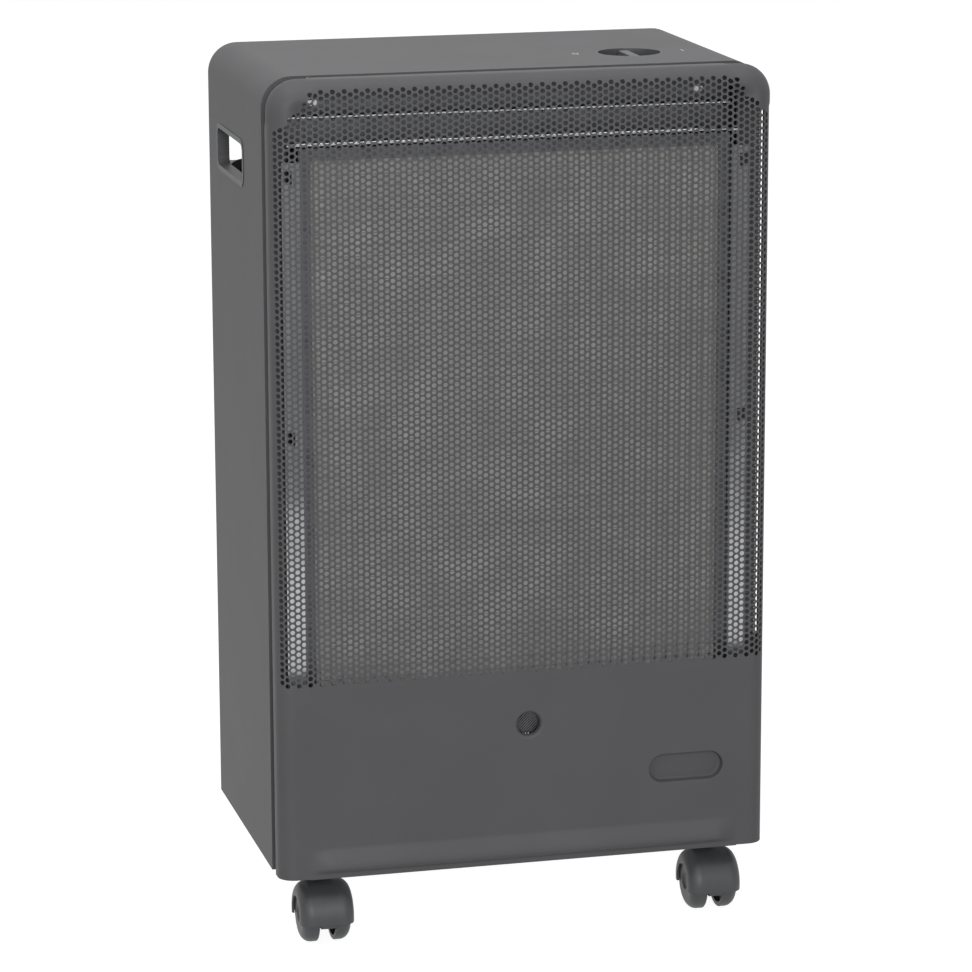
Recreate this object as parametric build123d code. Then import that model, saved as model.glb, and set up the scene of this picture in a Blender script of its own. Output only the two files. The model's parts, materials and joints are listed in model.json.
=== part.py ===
from build123d import *
import os
from math import cos, radians, sin

# Portable gas cabinet heater, millimetres. +Z up, front faces -Y, floor at z = 0.
# x runs from the cabinet's middle plane, y from half the overall depth.

# Cabinet
cabinet_width = 420.0
cabinet_height = 666.0  # shell and fascia, without the casters
shell_depth = 270.0  # front face to the shell's back edge
fascia_depth = 36.0  # front face to the seam
cover_bulge = 120.0  # rear cover behind the shell's back edge
corner_radius = 25.0  # top corners, outside
edge_roll = 14.0  # rolled front edges, outside
seam_roll = 10.0  # fascia edges rolled in towards the seam
sheet = 1.2  # cabinet steel
seam_gap = 0.4  # fascia to shell
seam_flange = 20.0  # returned edges of fascia and shell at the seam
flange = 13.0  # returned edges of the shell below and behind
seat = 0.3  # gap between pieces that bear on each other
running = 0.06  # radial clearance of shafts and pins

# Front fascia
guard_bottom = 168.0  # perforated field above the cabinet's bottom edge
guard_top_margin = 26.0
guard_side_margin = 22.0
guard_pitch = 30.0  # the holes up a column
guard_hole = 9.5  # corner radius of a six-sided hole
sight_hole_radius = 10.5
sight_hole_height = 121.0
pilot_x = 3.0
pill_length = 63.0
pill_height = 23.0
pill_inset = 70.0  # side of the cabinet to the recess's middle
pill_z = 73.5
pill_depth = 1.6
bead_height = 10.0
bead_radius = 3.0
bead_depth = 2.0
bead_margin = 22.0
screw_rises = (0.12, 0.45, 0.78)  # share of the cabinet's height

# Tray that carries the bottle and the casters
tray_sheet = 1.5
tray_lip = 22.0
tray_side_gap = 0.5
bottle_seat_radius = 118.0
bottle_seat_height = 3.0
bottle_seat_setback = 235.0

# Burner
panel_side_margin = 38.0  # side of the cabinet to the visible face of the fibre pad
panel_top_margin = 68.0
panel_bottom = 150.0
panel_setback = 30.0  # front face to the pad
panel_lip = 7.0  # frame over the pad's edge
pad_thickness = 10.0
mesh_thickness = 0.8
mesh_columns = 7
mesh_rows = 9
mesh_bar = 6.0
housing_depth = 30.0
thin_sheet = 1.0  # inner steel
ledge = 8.0
standoff_radius = 5.0
standoff_side_inset = 22.0  # inside the pad's visible side
standoff_inset = 26.0
shield_setback = 78.0
shield_flange = 14.0
shield_top_gap = 26.0
reflector_flange = 15.0
reflector_forward = 6.0
reflector_slot = (7.0, 11.0)
reflector_slot_drop = (227.0, 12.0)  # below the pad's visible top
deflector_side_gap = 20.0  # side of the cabinet to the deflector's end
deflector_step = 21.0
deflector_roll = 1.8  # radius of the rolled front edges
deflector_reach = (27.0, 14.0)
deflector_flange_rise = 22.0
deflector_screw_inset = 27.0
deflector_screw_rise = 0.6  # share of the back plate's height

# Pilot
pilot_setback = 46.0
pilot_bracket_width = 44.0
pilot_bracket_drop = 40.0
pilot_tube_radius = 5.0
probe_radius = 2.2
electrode_radius = 3.2
pilot_spacing = 14.0
pilot_bracket_front = 2.0  # behind the pad's front
pilot_bracket_back = 12.0  # behind the burner's middle
pilot_shelf_rise = 12.0  # lower plate above the bracket's lower edge
pilot_shelf_front = 9.0
pilot_rise = 6.0  # lower ends of burner, probe and electrode
pilot_fit = 0.15
pilot_tops = (4.0, 2.0, 3.0)  # burner, probe and electrode under the upper plate
spout_length = 11.0
spout_drop = 5.0
pin_radius = 1.0
pin_length = 6.0

# Control
control_inset = 90.5  # side of the cabinet to the dial's middle
control_setback = 113.5
bowl_radius = 28.5
bowl_depth = 25.0
bowl_wall = 2.0
bowl_flange = 6.0
bowl_chamfer = 4.0
bowl_hole_gap = 1.5
knob_radius = 22.5
knob_base = 5.0
knob_bar = 8.0
knob_taper = 2.0
knob_edge = 2.0
knob_bar_inset = 1.5
knob_below_top = 1.0
knob_gap = 5.5  # knob above the bowl's floor
press_travel = 4.0
spindle_radius = 4.0
spindle_into_knob = 11.0
neck_radius = 10.0
neck_gap = 12.0  # bowl's floor to the valve's neck
neck_height = 16.0
valve_size = (50.0, 42.0, 34.0)
valve_edge = 4.0
port_length = 6.0
port_wall = 2.5
inlet_boss = 8.0
bracket_leg = 24.0
piezo_size = (16.0, 20.0, 30.0)
piezo_edge = 2.0
nozzle_radius = 4.5
nozzle_length = 16.0
nozzle_hex = 8.0
nozzle_hex_length = 7.0
nozzle_groove = (0.6, 1.5)  # depth and width
nozzle_tip = (0.2, 1.5)  # smaller by, and length
nozzle_bore = 2.5

# Pipes and leads
main_pipe_radius = 4.0
pilot_pipe_radius = 2.0
probe_lead_radius = 1.5
spark_lead_radius = 2.5
pipe_route_rise = 110.0
pipe_route_step = 14.0
lead_route_rise = 78.0
pilot_pipe_drop = 6.0  # under the lead route
probe_lead_lift = 4.5  # over the lead route
spark_lead_drop = 0.5
spark_lead_offset = 62.0  # where it passes the shield, right of the pilot
probe_lead_back = 20.0  # behind the shield
spark_lead_back = 30.0
main_pipe_bends = (6.0, 12.0, 6.0, 5.0)
pilot_pipe_bends = (6.0, 20.0, 10.0, 4.0)
probe_lead_bends = (20.0, 20.0, 30.0, 12.0, 5.0)
spark_lead_bends = (20.0, 20.0, 30.0, 14.0, 7.0, 7.0, 6.0)
lead_slack = (60.0, 110.0)  # drops of the capillary under the valve
lead_bend_rise = 60.0  # over the route, where it turns to the pilot
spark_slack = (50.0, 90.0)  # drops of the lead under the igniter
spark_bend_rise = 70.0
lead_hole = (76.0, 24.0)
lead_hole_offset = 40.0  # right of the pilot
injector_radius = 7.0
injector_height = 16.0
injector_x = 60.0

# Side handles
handle_length = 114.0
handle_height = 36.0
handle_corner = 9.0
handle_setback = 173.0
handle_drop = 82.0  # below the cabinet's top
handle_wall = 2.2
handle_rim = 2.0
handle_rim_height = 0.6
handle_depth = 9.6

# Rear cover
cover_side_inset = 32.0
cover_rise = 8.0  # bottom edge above the cabinet's bottom
cover_height = 540.0
cover_flange = 17.0
cover_edge = 14.0
cover_sheet = 1.0
cover_pivot_rise = 18.0
cover_pivot_inset = 22.0
pivot_radius = 3.0
pivot_ear = 8.0
pivot_head = 6.0
louvre_count = 6
louvre_length = 90.0
louvre_height = 6.0
louvre_pitch = 16.0
louvre_rise = 40.0
louvre_x = 67.5
cover_gap = 0.5
pin_head_height = 1.5
pin_end = 3.0

# Casters
caster_height = 62.0
wheel_radius = 24.5
wheel_width = 13.5
wheel_edge = 8.5
wheel_gap = 13.0  # the hood's web between the wheels
wheel_clearance = 0.6
wheel_rim = 4.0  # tread thickness and the end of the dished side
hood_wall = 1.8
hood_window = 15.0  # radius of the hood's side openings
hood_skirt = 20.0
web_rise = 17.0
web_inset = 1.5  # web inside the hood's outline
axle_radius = 3.0
caster_trail = 18.0
stem_radius = 4.0
stem_length = 28.0
boss_radius = 11.0
socket_radius = 7.0
socket_flange = 13.0
socket_flange_height = 2.0
socket_height = 30.0
front_caster_inset = 41.0
front_caster_setback = 47.0
rear_caster_inset = 68.0
rear_caster_setback = 340.0

# Fasteners
screw_radius = 2.0
screw_hole = 2.3
screw_head = 4.0
screw_head_height = 2.0
screw_length = 8.0

half = cabinet_width / 2
control_x = half - control_inset
overall_depth = shell_depth + cover_bulge
front = -overall_depth / 2
bottom = caster_height
top = bottom + cabinet_height
seam = front + fascia_depth
shell_front = seam + seam_gap
shell_back = front + shell_depth
tray_bottom = bottom + sheet + seat
tray_top = tray_bottom + tray_sheet


def slab(x, y, z):
    """A box between two values along each axis."""
    low, high = zip(x, y, z)
    size = [b - a for a, b in zip(low, high)]
    middle = [(a + b) / 2 for a, b in zip(low, high)]
    return Pos(*middle) * Box(*size)


def upright(face, y_back, depth):
    """A face drawn in X and Z, placed at y_back and drawn out towards the front."""
    plane = Plane((0, y_back, 0), x_dir=(1, 0, 0), z_dir=(0, -1, 0))
    return extrude(plane * face, depth)


def sideways(face, x, depth):
    """A face drawn in Y and Z, placed at x and drawn out towards +X."""
    return extrude(Plane((x, 0, 0), x_dir=(0, 1, 0), z_dir=(1, 0, 0)) * face, depth)


def arch(half_width, z, radius):
    """A rectangle with its two upper corners rounded."""
    face = Pos(0, (z[0] + z[1]) / 2) * Rectangle(2 * half_width, z[1] - z[0])
    return fillet(face.vertices().group_by(Axis.Y)[-1], radius)


def rod(centre, axis, radius, length):
    """A round bar from centre along axis."""
    return extrude(Plane(centre, z_dir=axis) * Circle(radius), length)


def pill(length, height):
    return SlotOverall(length, height)


def pipe(points, bends, radius):
    """A round pipe along straight runs joined by arcs."""
    path = FilletPolyline(*points, radius=list(bends))
    return sweep(Plane(path @ 0, z_dir=path % 0) * Circle(radius), path=path)


def screw(place, axis):
    """A pan-head screw: its head stands on place, its shank runs along axis."""
    shank = rod(place, axis, screw_radius, screw_length)
    back = Vector(*place) - Vector(*axis) * screw_head_height
    return shank + rod(back, axis, screw_head, screw_head_height)


# Cabinet


def handle_opening(grow):
    """The outline of a side handle, in Y and Z."""
    outline = RectangleRounded(handle_length + 2 * grow, handle_height + 2 * grow, handle_corner + grow)
    return Pos(front + handle_setback, top - handle_drop) * outline


def flange_screw_places():
    """X and Z of the screws that join the fascia to the shell."""
    across = half - seam_roll - (seam_flange - seam_roll) / 2
    return [(side * across, bottom + rise * cabinet_height) for side in (-1, 1) for rise in screw_rises]


def flange_holes():
    holes = [Pos(x, z) * Circle(screw_hole) for x, z in flange_screw_places()]
    return upright(Sketch() + holes, shell_front + 2 * sheet, 6 * sheet)


def seam_opening():
    """The opening inside the returned edges at the seam, open below."""
    return arch(half - seam_flange, (bottom - sheet, top - seam_flange), corner_radius / 3)


def cabinet_shell():
    """Left side, top and right side folded from one sheet, with returned edges."""
    body = upright(arch(half, (bottom, top), corner_radius), shell_back, shell_back - shell_front)
    inside = arch(half - sheet, (bottom + sheet, top - sheet), corner_radius - sheet)
    body -= upright(inside, shell_back - sheet, shell_back - shell_front - 2 * sheet)
    through = arch(half - flange, (bottom - sheet, top - flange), corner_radius - flange)
    body -= upright(through, shell_back + sheet, shell_back - shell_front)
    body -= upright(seam_opening(), shell_front + 2 * sheet, 3 * sheet)
    for side in (-1, 1):
        body -= sideways(handle_opening(seat), side * half - 2 * sheet, 4 * sheet)
    dial = (control_x, front + control_setback, top - 2 * sheet)
    body -= rod(dial, (0, 0, 1), bowl_radius + seat, 4 * sheet)
    return body - flange_holes()


def fascia_block(inset):
    """The fascia's outside, or the inside of its sheet when inset."""
    outline = arch(half - inset, (bottom + inset, top - inset), corner_radius - inset)
    body = upright(outline, seam - inset, fascia_depth - 2 * inset)
    for face, roll in ((0, edge_roll), (-1, seam_roll)):
        edges = body.faces().filter_by(Axis.Y).sort_by(Axis.Y)[face].edges()
        body = fillet([edge for edge in edges if edge.center().Z > bottom + inset + 1], roll - inset)
    return body


def guard_holes():
    """Staggered six-sided holes that let the heat out."""
    column_pitch = guard_pitch * cos(radians(30))
    reach = half - guard_side_margin - guard_hole
    low = bottom + guard_bottom + guard_hole
    high = top - guard_top_margin - guard_hole
    columns = int(reach / column_pitch)
    hole = RegularPolygon(guard_hole, 6)
    holes = []
    for column in range(-columns, columns + 1):
        z = low + (guard_pitch / 2 if column % 2 else 0)
        while z <= high:
            holes.append(Pos(column * column_pitch, z) * hole)
            z += guard_pitch
    return upright(Sketch() + holes, front + 2 * sheet, 4 * sheet)


def front_fascia():
    """Pressed front sheet with rolled edges, perforated above, plain below."""
    body = fascia_block(0) - fascia_block(sheet)
    body -= upright(seam_opening(), seam + sheet, 3 * sheet)
    inner = half - seam_flange
    body -= slab((-inner, inner), (front + flange, seam + sheet), (bottom - sheet, bottom + 2 * sheet))
    recess = Pos(half - pill_inset, bottom + pill_z) * pill(pill_length, pill_height)
    backing = Pos(half - pill_inset, bottom + pill_z) * pill(pill_length + 2 * sheet, pill_height + 2 * sheet)
    body += upright(backing, front + pill_depth + sheet, pill_depth + sheet / 2)
    body -= upright(recess, front + pill_depth, 2 * pill_depth)
    centre_y = front + bead_depth - bead_radius
    start = (-half + bead_margin, centre_y, bottom + bead_height)
    length = cabinet_width - 2 * bead_margin
    ridge = rod(start, (1, 0, 0), bead_radius + sheet, length)
    body += ridge & slab((-half, half), (front + sheet / 2, front + 3 * bead_radius), (bottom, top))
    body -= rod(start, (1, 0, 0), bead_radius, length)
    body -= rod((pilot_x, front - sheet, bottom + sight_hole_height), (0, 1, 0), sight_hole_radius, 3 * sheet)
    return body - guard_holes() - flange_holes()


def fascia_screws():
    """Screws from behind, through both returned edges."""
    y = shell_front + sheet
    return Compound([screw((x, y + seat, z), (0, -1, 0)) for x, z in flange_screw_places()])


# Tray

caster_places = {
    "front_left": (-half + front_caster_inset, front + front_caster_setback),
    "front_right": (half - front_caster_inset, front + front_caster_setback),
    "rear_left": (-half + rear_caster_inset, front + rear_caster_setback),
    "rear_right": (half - rear_caster_inset, front + rear_caster_setback),
}

cover_half = half - cover_side_inset
cover_back = front + overall_depth
pivot_y = cover_back - cover_pivot_inset
pivot_z = bottom + cover_pivot_rise
ear_half = cover_half - cover_sheet - tray_side_gap
tray_rear = pivot_y - pivot_ear - 2


def base_tray():
    """Pan with turned-up edges, a pressed-up seat for the bottle and two pivot ears."""
    wide = half - sheet - tray_side_gap
    narrow = half - seam_flange - seat
    y_front = front + bead_depth + 2 * sheet + tray_side_gap
    y_seam = shell_front + sheet + seat
    y_step = shell_back - sheet - seat
    plates = slab((-narrow, narrow), (y_front, y_step), (tray_bottom, tray_top))
    plates += slab((-wide, wide), (y_seam, y_step), (tray_bottom, tray_top))
    plates += slab((-ear_half, ear_half), (y_step, tray_rear), (tray_bottom, tray_top))
    lip = (tray_bottom, tray_bottom + tray_lip)
    for side in (-1, 1):
        edge = sorted((side * wide, side * (wide - tray_sheet)))
        plates += slab(edge, (y_seam, y_step), lip)
        edge = sorted((side * ear_half, side * (ear_half - tray_sheet)))
        plates += slab(edge, (y_step, tray_rear), (tray_bottom, pivot_z + pivot_ear))
        inner = min(edge)
        plates += slab(edge, (tray_rear, pivot_y), (pivot_z - pivot_ear, pivot_z + pivot_ear))
        plates += rod((inner, pivot_y, pivot_z), (1, 0, 0), pivot_ear, tray_sheet)
        plates -= rod((inner - 1, pivot_y, pivot_z), (1, 0, 0), pivot_radius + running, tray_sheet + 2)
    middle = (0, front + bottle_seat_setback)
    plates += rod((*middle, tray_bottom), (0, 0, 1), bottle_seat_radius, tray_sheet + bottle_seat_height)
    under = bottle_seat_radius - tray_sheet
    plates -= rod((*middle, tray_bottom), (0, 0, 1), under, bottle_seat_height)
    for x, y in caster_places.values():
        plates -= rod((x, y, tray_bottom - 1), (0, 0, 1), socket_radius + seat, tray_sheet + 2)
    return plates


def caster_sockets():
    """Four moulded sockets pushed up through the tray."""
    low = tray_bottom - seat - socket_flange_height
    sockets = []
    for x, y in caster_places.values():
        socket = rod((x, y, low), (0, 0, 1), socket_flange, socket_flange_height)
        socket += rod((x, y, low), (0, 0, 1), socket_radius, socket_height)
        socket -= rod((x, y, low - 1), (0, 0, 1), stem_radius + running, socket_height - 1)
        sockets.append(socket)
    return Compound(sockets)


# Burner

panel_half = half - panel_side_margin
panel_low = bottom + panel_bottom
panel_high = top - panel_top_margin
pad_front = front + panel_setback
pad_half = panel_half + panel_lip
pad_low = panel_low - panel_lip
pad_high = panel_high + panel_lip
housing_half = pad_half + seat + thin_sheet
housing_low = pad_low - seat - thin_sheet
housing_high = pad_high + seat + thin_sheet
housing_back = pad_front + housing_depth
shield_front = front + shield_setback
shield_back = shield_front + thin_sheet
frame_half = housing_half + seat + thin_sheet
mesh_front = pad_front - seat - mesh_thickness
frame_front = mesh_front - seat - thin_sheet
injector_y = (pad_front + pad_thickness + housing_back) / 2


def box_ring(half_width, z, y, wall):
    """A rectangular frame whose bars are as wide as wall."""
    inner = half_width - wall
    ring = slab((-half_width, half_width), y, z)
    return ring - slab((-inner, inner), (y[0] - 1, y[1] + 1), (z[0] + wall, z[1] - wall))


def burner_housing():
    """Shallow gas box behind the pad, with a ledge that the pad rests on."""
    z = (housing_low, housing_high)
    body = box_ring(housing_half, z, (pad_front, housing_back), thin_sheet)
    body += slab((-housing_half, housing_half), (housing_back - thin_sheet, housing_back), z)
    ledge_y = pad_front + pad_thickness + seat
    body += box_ring(housing_half, z, (ledge_y, ledge_y + thin_sheet), ledge)
    return body - rod((injector_x, injector_y, housing_low - 1), (0, 0, 1), main_pipe_radius, thin_sheet + 2)


def catalyst_pad():
    return slab((-pad_half, pad_half), (pad_front, pad_front + pad_thickness), (pad_low, pad_high))


def pad_mesh():
    """Welded mesh that holds the pad in place."""
    y = (mesh_front, mesh_front + mesh_thickness)
    body = slab((-pad_half, pad_half), y, (pad_low, pad_high))
    cell_x = (2 * pad_half - mesh_bar) / mesh_columns
    cell_z = (pad_high - pad_low - mesh_bar) / mesh_rows
    gap = Rectangle(cell_x - mesh_bar, cell_z - mesh_bar)
    gaps = [
        Pos(-pad_half + mesh_bar / 2 + cell_x * (i + 0.5), pad_low + mesh_bar / 2 + cell_z * (j + 0.5)) * gap
        for i in range(mesh_columns)
        for j in range(mesh_rows)
    ]
    return body - upright(Sketch() + gaps, y[1] + 1, mesh_thickness + 2)


def panel_frame():
    """Frame over the edge of mesh and pad, turned back round the gas box."""
    z = (housing_low - seat - thin_sheet, housing_high + seat + thin_sheet)
    face = slab((-frame_half, frame_half), (frame_front, frame_front + thin_sheet), z)
    face -= slab((-panel_half, panel_half), (frame_front - 1, pad_front), (panel_low, panel_high))
    body = face + box_ring(frame_half, z, (frame_front, pad_front + housing_depth / 2), thin_sheet)
    reach = injector_radius + 2
    notch = (injector_x - reach, injector_x + reach)
    return body - slab(notch, (injector_y - reach, housing_back), (z[0] - 1, z[0] + thin_sheet + 1))


def side_reflector(side):
    """Bright strip beside the panel, with two slots in its front flange."""
    inner = frame_half + seat
    y_front = frame_front - reflector_forward
    z = (panel_low, panel_high)
    body = slab((inner, inner + thin_sheet), (y_front, pad_front + housing_depth / 2), z)
    outer = inner + reflector_flange
    body += slab((inner, outer), (y_front, y_front + thin_sheet), z)
    wide, tall = reflector_slot
    for drop in reflector_slot_drop:
        x = outer - reflector_flange / 3
        middle = panel_high - drop
        slot = ((x - wide / 2, x + wide / 2), (y_front - thin_sheet, y_front + 2 * thin_sheet))
        body -= slab(*slot, (middle - tall / 2, middle + tall / 2))
    return body if side > 0 else mirror(body, Plane.YZ)


deflector_half = half - deflector_side_gap
deflector_screw_x = deflector_half - deflector_screw_inset
deflector_low = housing_high + 2 * seat + thin_sheet
deflector_back = housing_back + thin_sheet + seat
deflector_top = deflector_low + deflector_step + deflector_flange_rise
deflector_screw_z = deflector_low + deflector_step + deflector_flange_rise * deflector_screw_rise


def top_deflector():
    """Two forward shelves with rolled edges on one back plate."""
    x = (-deflector_half, deflector_half)
    body = slab(x, (deflector_back - thin_sheet, deflector_back), (deflector_low, deflector_top))
    for step, reach in enumerate(deflector_reach):
        z = deflector_low + step * deflector_step
        y = deflector_back - reach
        body += slab(x, (y, deflector_back), (z, z + thin_sheet))
        body += rod((x[0], y, z + deflector_roll), (1, 0, 0), deflector_roll, 2 * deflector_half)
    y = (deflector_back - thin_sheet, shield_front - seat)
    body += slab(x, y, (deflector_top - thin_sheet, deflector_top))
    for side in (-1, 1):
        place = (side * deflector_screw_x, deflector_back - 2 * thin_sheet, deflector_screw_z)
        body -= rod(place, (0, 1, 0), screw_hole, 3 * thin_sheet)
    return body


def deflector_screws():
    """Two bright screws in the deflector's back plate."""
    y = deflector_back - thin_sheet - seat
    sides = (-deflector_screw_x, deflector_screw_x)
    return Compound([screw((x, y, deflector_screw_z), (0, 1, 0)) for x in sides])


def shield_openings():
    """Holes for the pipe from the valve and for the leads low down."""
    port_width = valve_size[0] - valve_edge
    port_height = 2 * (main_pipe_radius + port_wall) + 3
    upper = Pos(control_x, valve_mid_z) * RectangleRounded(port_width, port_height, valve_edge)
    lower = Pos(lead_hole_x, bottom + lead_route_rise) * RectangleRounded(*lead_hole, lead_hole[1] / 3)
    return upright(Sketch() + [upper, lower], shield_back + thin_sheet, 3 * thin_sheet)


def heat_shield():
    """Bulkhead between burner and bottle, turned forward at its sides."""
    edge = half - sheet - seat
    inner = edge - tray_sheet - 2 * seat
    low = tray_top + seat
    high = top - shield_top_gap
    over_lip = tray_bottom + tray_lip + seat
    body = slab((-inner, inner), (shield_front, shield_back), (low, high))
    body += slab((-edge, edge), (shield_front, shield_back), (over_lip, high))
    body += slab((-inner, inner), (shield_front, shield_back + shield_flange), (low, low + thin_sheet))
    for side in (-1, 1):
        x = sorted((side * edge, side * (edge - thin_sheet)))
        body += slab(x, (shield_front - shield_flange, shield_back), (over_lip, high))
    return body - shield_openings()


def burner_standoffs():
    """Four tubes that hold the gas box off the shield."""
    y = (housing_back + seat, shield_front - seat)
    posts = []
    for x in (standoff_side_inset - panel_half, panel_half - standoff_side_inset):
        for z in (housing_low + standoff_inset, housing_high - standoff_inset):
            posts.append(rod((x, y[0], z), (0, 1, 0), standoff_radius, y[1] - y[0]))
    return Compound(posts)


# Control

control_y = front + control_setback
bowl_floor = top - bowl_depth
knob_top = top - knob_below_top
knob_low = bowl_floor + bowl_wall + knob_gap
neck_top = bowl_floor - neck_gap
valve_top = neck_top - neck_height
valve_low = valve_top - valve_size[2]
valve_mid_z = (valve_top + valve_low) / 2
lead_hole_x = pilot_x + lead_hole_offset
valve_front = control_y - valve_size[1] / 2
valve_back = control_y + valve_size[1] / 2
piezo_x = control_x + valve_size[0] / 2 + seat
main_port_x = control_x - valve_size[0] / 4
pilot_port_x = control_x + valve_size[0] / 4


def dial_bowl():
    """Moulded recess in the top, held by a flange under the sheet."""
    place = (control_x, control_y)
    body = rod((*place, bowl_floor), (0, 0, 1), bowl_radius, bowl_depth)
    body = chamfer(body.edges().sort_by(Axis.Z)[0], bowl_chamfer)
    under = top - sheet - seat
    body += rod((*place, under - bowl_wall), (0, 0, 1), bowl_radius + bowl_flange, bowl_wall)
    inside = rod((*place, bowl_floor + bowl_wall), (0, 0, 1), bowl_radius - bowl_wall, bowl_depth)
    body -= chamfer(inside.edges().sort_by(Axis.Z)[0], bowl_chamfer - 1)
    return body - rod((*place, bowl_floor - 1), (0, 0, 1), spindle_radius + bowl_hole_gap, bowl_wall + 2)


def control_knob():
    """Round knob with a bar grip across it."""
    place = (control_x, control_y, knob_low)
    body = rod(place, (0, 0, 1), knob_radius, knob_base)
    body = chamfer(body.edges().sort_by(Axis.Z)[-1], knob_edge)
    long = 2 * (knob_radius - knob_bar_inset)
    foot = Plane(place) * Rectangle(knob_bar + 2 * knob_taper, long)
    crest = Plane((control_x, control_y, knob_top)) * Rectangle(knob_bar, long - 2 * knob_taper)
    body += loft([foot, crest])
    return body - spindle_bar(running, knob_low - 1, knob_low + spindle_into_knob)


def spindle_bar(grow, low, high):
    """The spindle's upper end with its flat, grown by a clearance."""
    bar = rod((control_x, control_y, low), (0, 0, 1), spindle_radius + grow, high - low)
    flat = control_y + spindle_radius / 2 + grow
    reach = 2 * spindle_radius
    return bar - slab((control_x - reach, control_x + reach), (flat, control_y + reach), (low - 1, high + 1))


def valve_spindle():
    """Spindle of the valve, round in the neck and flatted in the knob."""
    flat_low = neck_top + 2
    flat_high = knob_low + spindle_into_knob - press_travel - 1
    lower = rod((control_x, control_y, valve_mid_z), (0, 0, 1), spindle_radius, flat_low - valve_mid_z)
    return lower + spindle_bar(0, flat_low, flat_high)


def gas_valve():
    """Brass valve block with neck and ports."""
    x = (control_x - valve_size[0] / 2, control_x + valve_size[0] / 2)
    body = slab(x, (valve_front, valve_back), (valve_low, valve_top))
    body = chamfer(body.edges().filter_by(Axis.Z), valve_edge)
    body += rod((control_x, control_y, valve_top), (0, 0, 1), neck_radius, neck_height)
    for x, radius in ((main_port_x, main_pipe_radius), (pilot_port_x, pilot_pipe_radius)):
        body += rod((x, valve_front, valve_mid_z), (0, -1, 0), radius + port_wall, port_length)
    body += rod((control_x, valve_back, valve_mid_z), (0, 1, 0), nozzle_hex, inlet_boss)
    bore = (control_x, control_y, valve_mid_z - 1)
    return body - rod(bore, (0, 0, 1), spindle_radius + running, 2 * valve_size[2])


def valve_bracket():
    """Angle on the back of the shield that carries the valve."""
    x = (control_x - valve_size[0] / 2, control_x + valve_size[0] / 2)
    y = shield_back + seat
    high = valve_low - seat
    body = slab(x, (y, y + tray_sheet), (high - bracket_leg, high))
    body += slab(x, (y, valve_back), (high - tray_sheet, high))
    place = (control_x, control_y, high - tray_sheet - 1)
    return body - rod(place, (0, 0, 1), 3 * probe_lead_radius, tray_sheet + 2)


def piezo_igniter():
    wide, deep, tall = piezo_size
    x = (piezo_x, piezo_x + wide)
    body = slab(x, (control_y - deep / 2, control_y + deep / 2), (valve_top - tall, valve_top))
    return chamfer(body.edges().filter_by(Axis.Z), piezo_edge)


nozzle_start = valve_back + inlet_boss + seat


def inlet_nozzle():
    """Hose nozzle: hexagon, plain spigot and a grooved tip that holds the hose."""
    plane = Plane((control_x, nozzle_start, valve_mid_z), z_dir=(0, 1, 0))
    body = extrude(plane * RegularPolygon(nozzle_hex, 6), nozzle_hex_length)
    spigot = nozzle_start + nozzle_hex_length
    body += rod((control_x, spigot, valve_mid_z), (0, 1, 0), nozzle_radius, nozzle_length)
    depth, width = nozzle_groove
    groove = (control_x, spigot + nozzle_length, valve_mid_z)
    body += rod(groove, (0, 1, 0), nozzle_radius - depth, width)
    smaller, length = nozzle_tip
    tip = (control_x, spigot + nozzle_length + width, valve_mid_z)
    body += rod(tip, (0, 1, 0), nozzle_radius - smaller, length)
    depth = nozzle_hex_length + nozzle_length + width + length
    return body - rod((control_x, nozzle_start + 2, valve_mid_z), (0, 1, 0), nozzle_bore, depth)


# Pipes, leads and pilot

injector_low = housing_low - seat - injector_height
pilot_y = front + pilot_setback
bracket_z = (housing_low - pilot_bracket_drop, housing_low - 2 * seat - thin_sheet)
pilot_low = bracket_z[0] + pilot_rise
bracket_under = bracket_z[1] - tray_sheet
gap_y = (housing_back + shield_front) / 2
lead_route = bottom + lead_route_rise
port_end = valve_front - port_length - seat


def injector():
    """Brass injector holder under the gas box."""
    place = (injector_x, injector_y, injector_low)
    body = extrude(Plane(place) * RegularPolygon(injector_radius, 6), injector_height)
    bore = (injector_x, injector_y, injector_low - 1)
    return body - rod(bore, (0, 0, 1), main_pipe_radius / 2, injector_height + 2)


def main_gas_pipe():
    """From the valve through the shield, down behind the gas box to the injector."""
    high = bottom + pipe_route_rise
    low = high - pipe_route_step
    points = [
        (main_port_x, port_end, valve_mid_z),
        (main_port_x, gap_y, valve_mid_z),
        (main_port_x, gap_y, high),
        (injector_x, gap_y, low),
        (injector_x, injector_y, low),
        (injector_x, injector_y, injector_low - seat),
    ]
    return pipe(points, main_pipe_bends, main_pipe_radius)


def pilot_pipe():
    """From the valve's pilot port down to the pilot burner."""
    low = lead_route - pilot_pipe_drop
    y = gap_y + pilot_pipe_radius
    points = [
        (pilot_port_x, port_end, valve_mid_z),
        (pilot_port_x, y, valve_mid_z),
        (pilot_port_x, y, low),
        (pilot_x, y, low),
        (pilot_x, pilot_y, low),
        (pilot_x, pilot_y, pilot_low - seat),
    ]
    return pipe(points, pilot_pipe_bends, pilot_pipe_radius)


def thermocouple_lead():
    """Capillary from the valve's underside to the probe."""
    low = lead_route + probe_lead_lift
    y = shield_back + probe_lead_back
    x = pilot_x + pilot_spacing
    points = [
        (control_x, control_y, valve_low - seat),
        (control_x, control_y, valve_low - lead_slack[0]),
        (control_x, y, valve_low - lead_slack[1]),
        (control_x, y, low + lead_bend_rise),
        (x, y, low),
        (x, pilot_y, low),
        (x, pilot_y, pilot_low - seat),
    ]
    return pipe(points, probe_lead_bends, probe_lead_radius)


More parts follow.
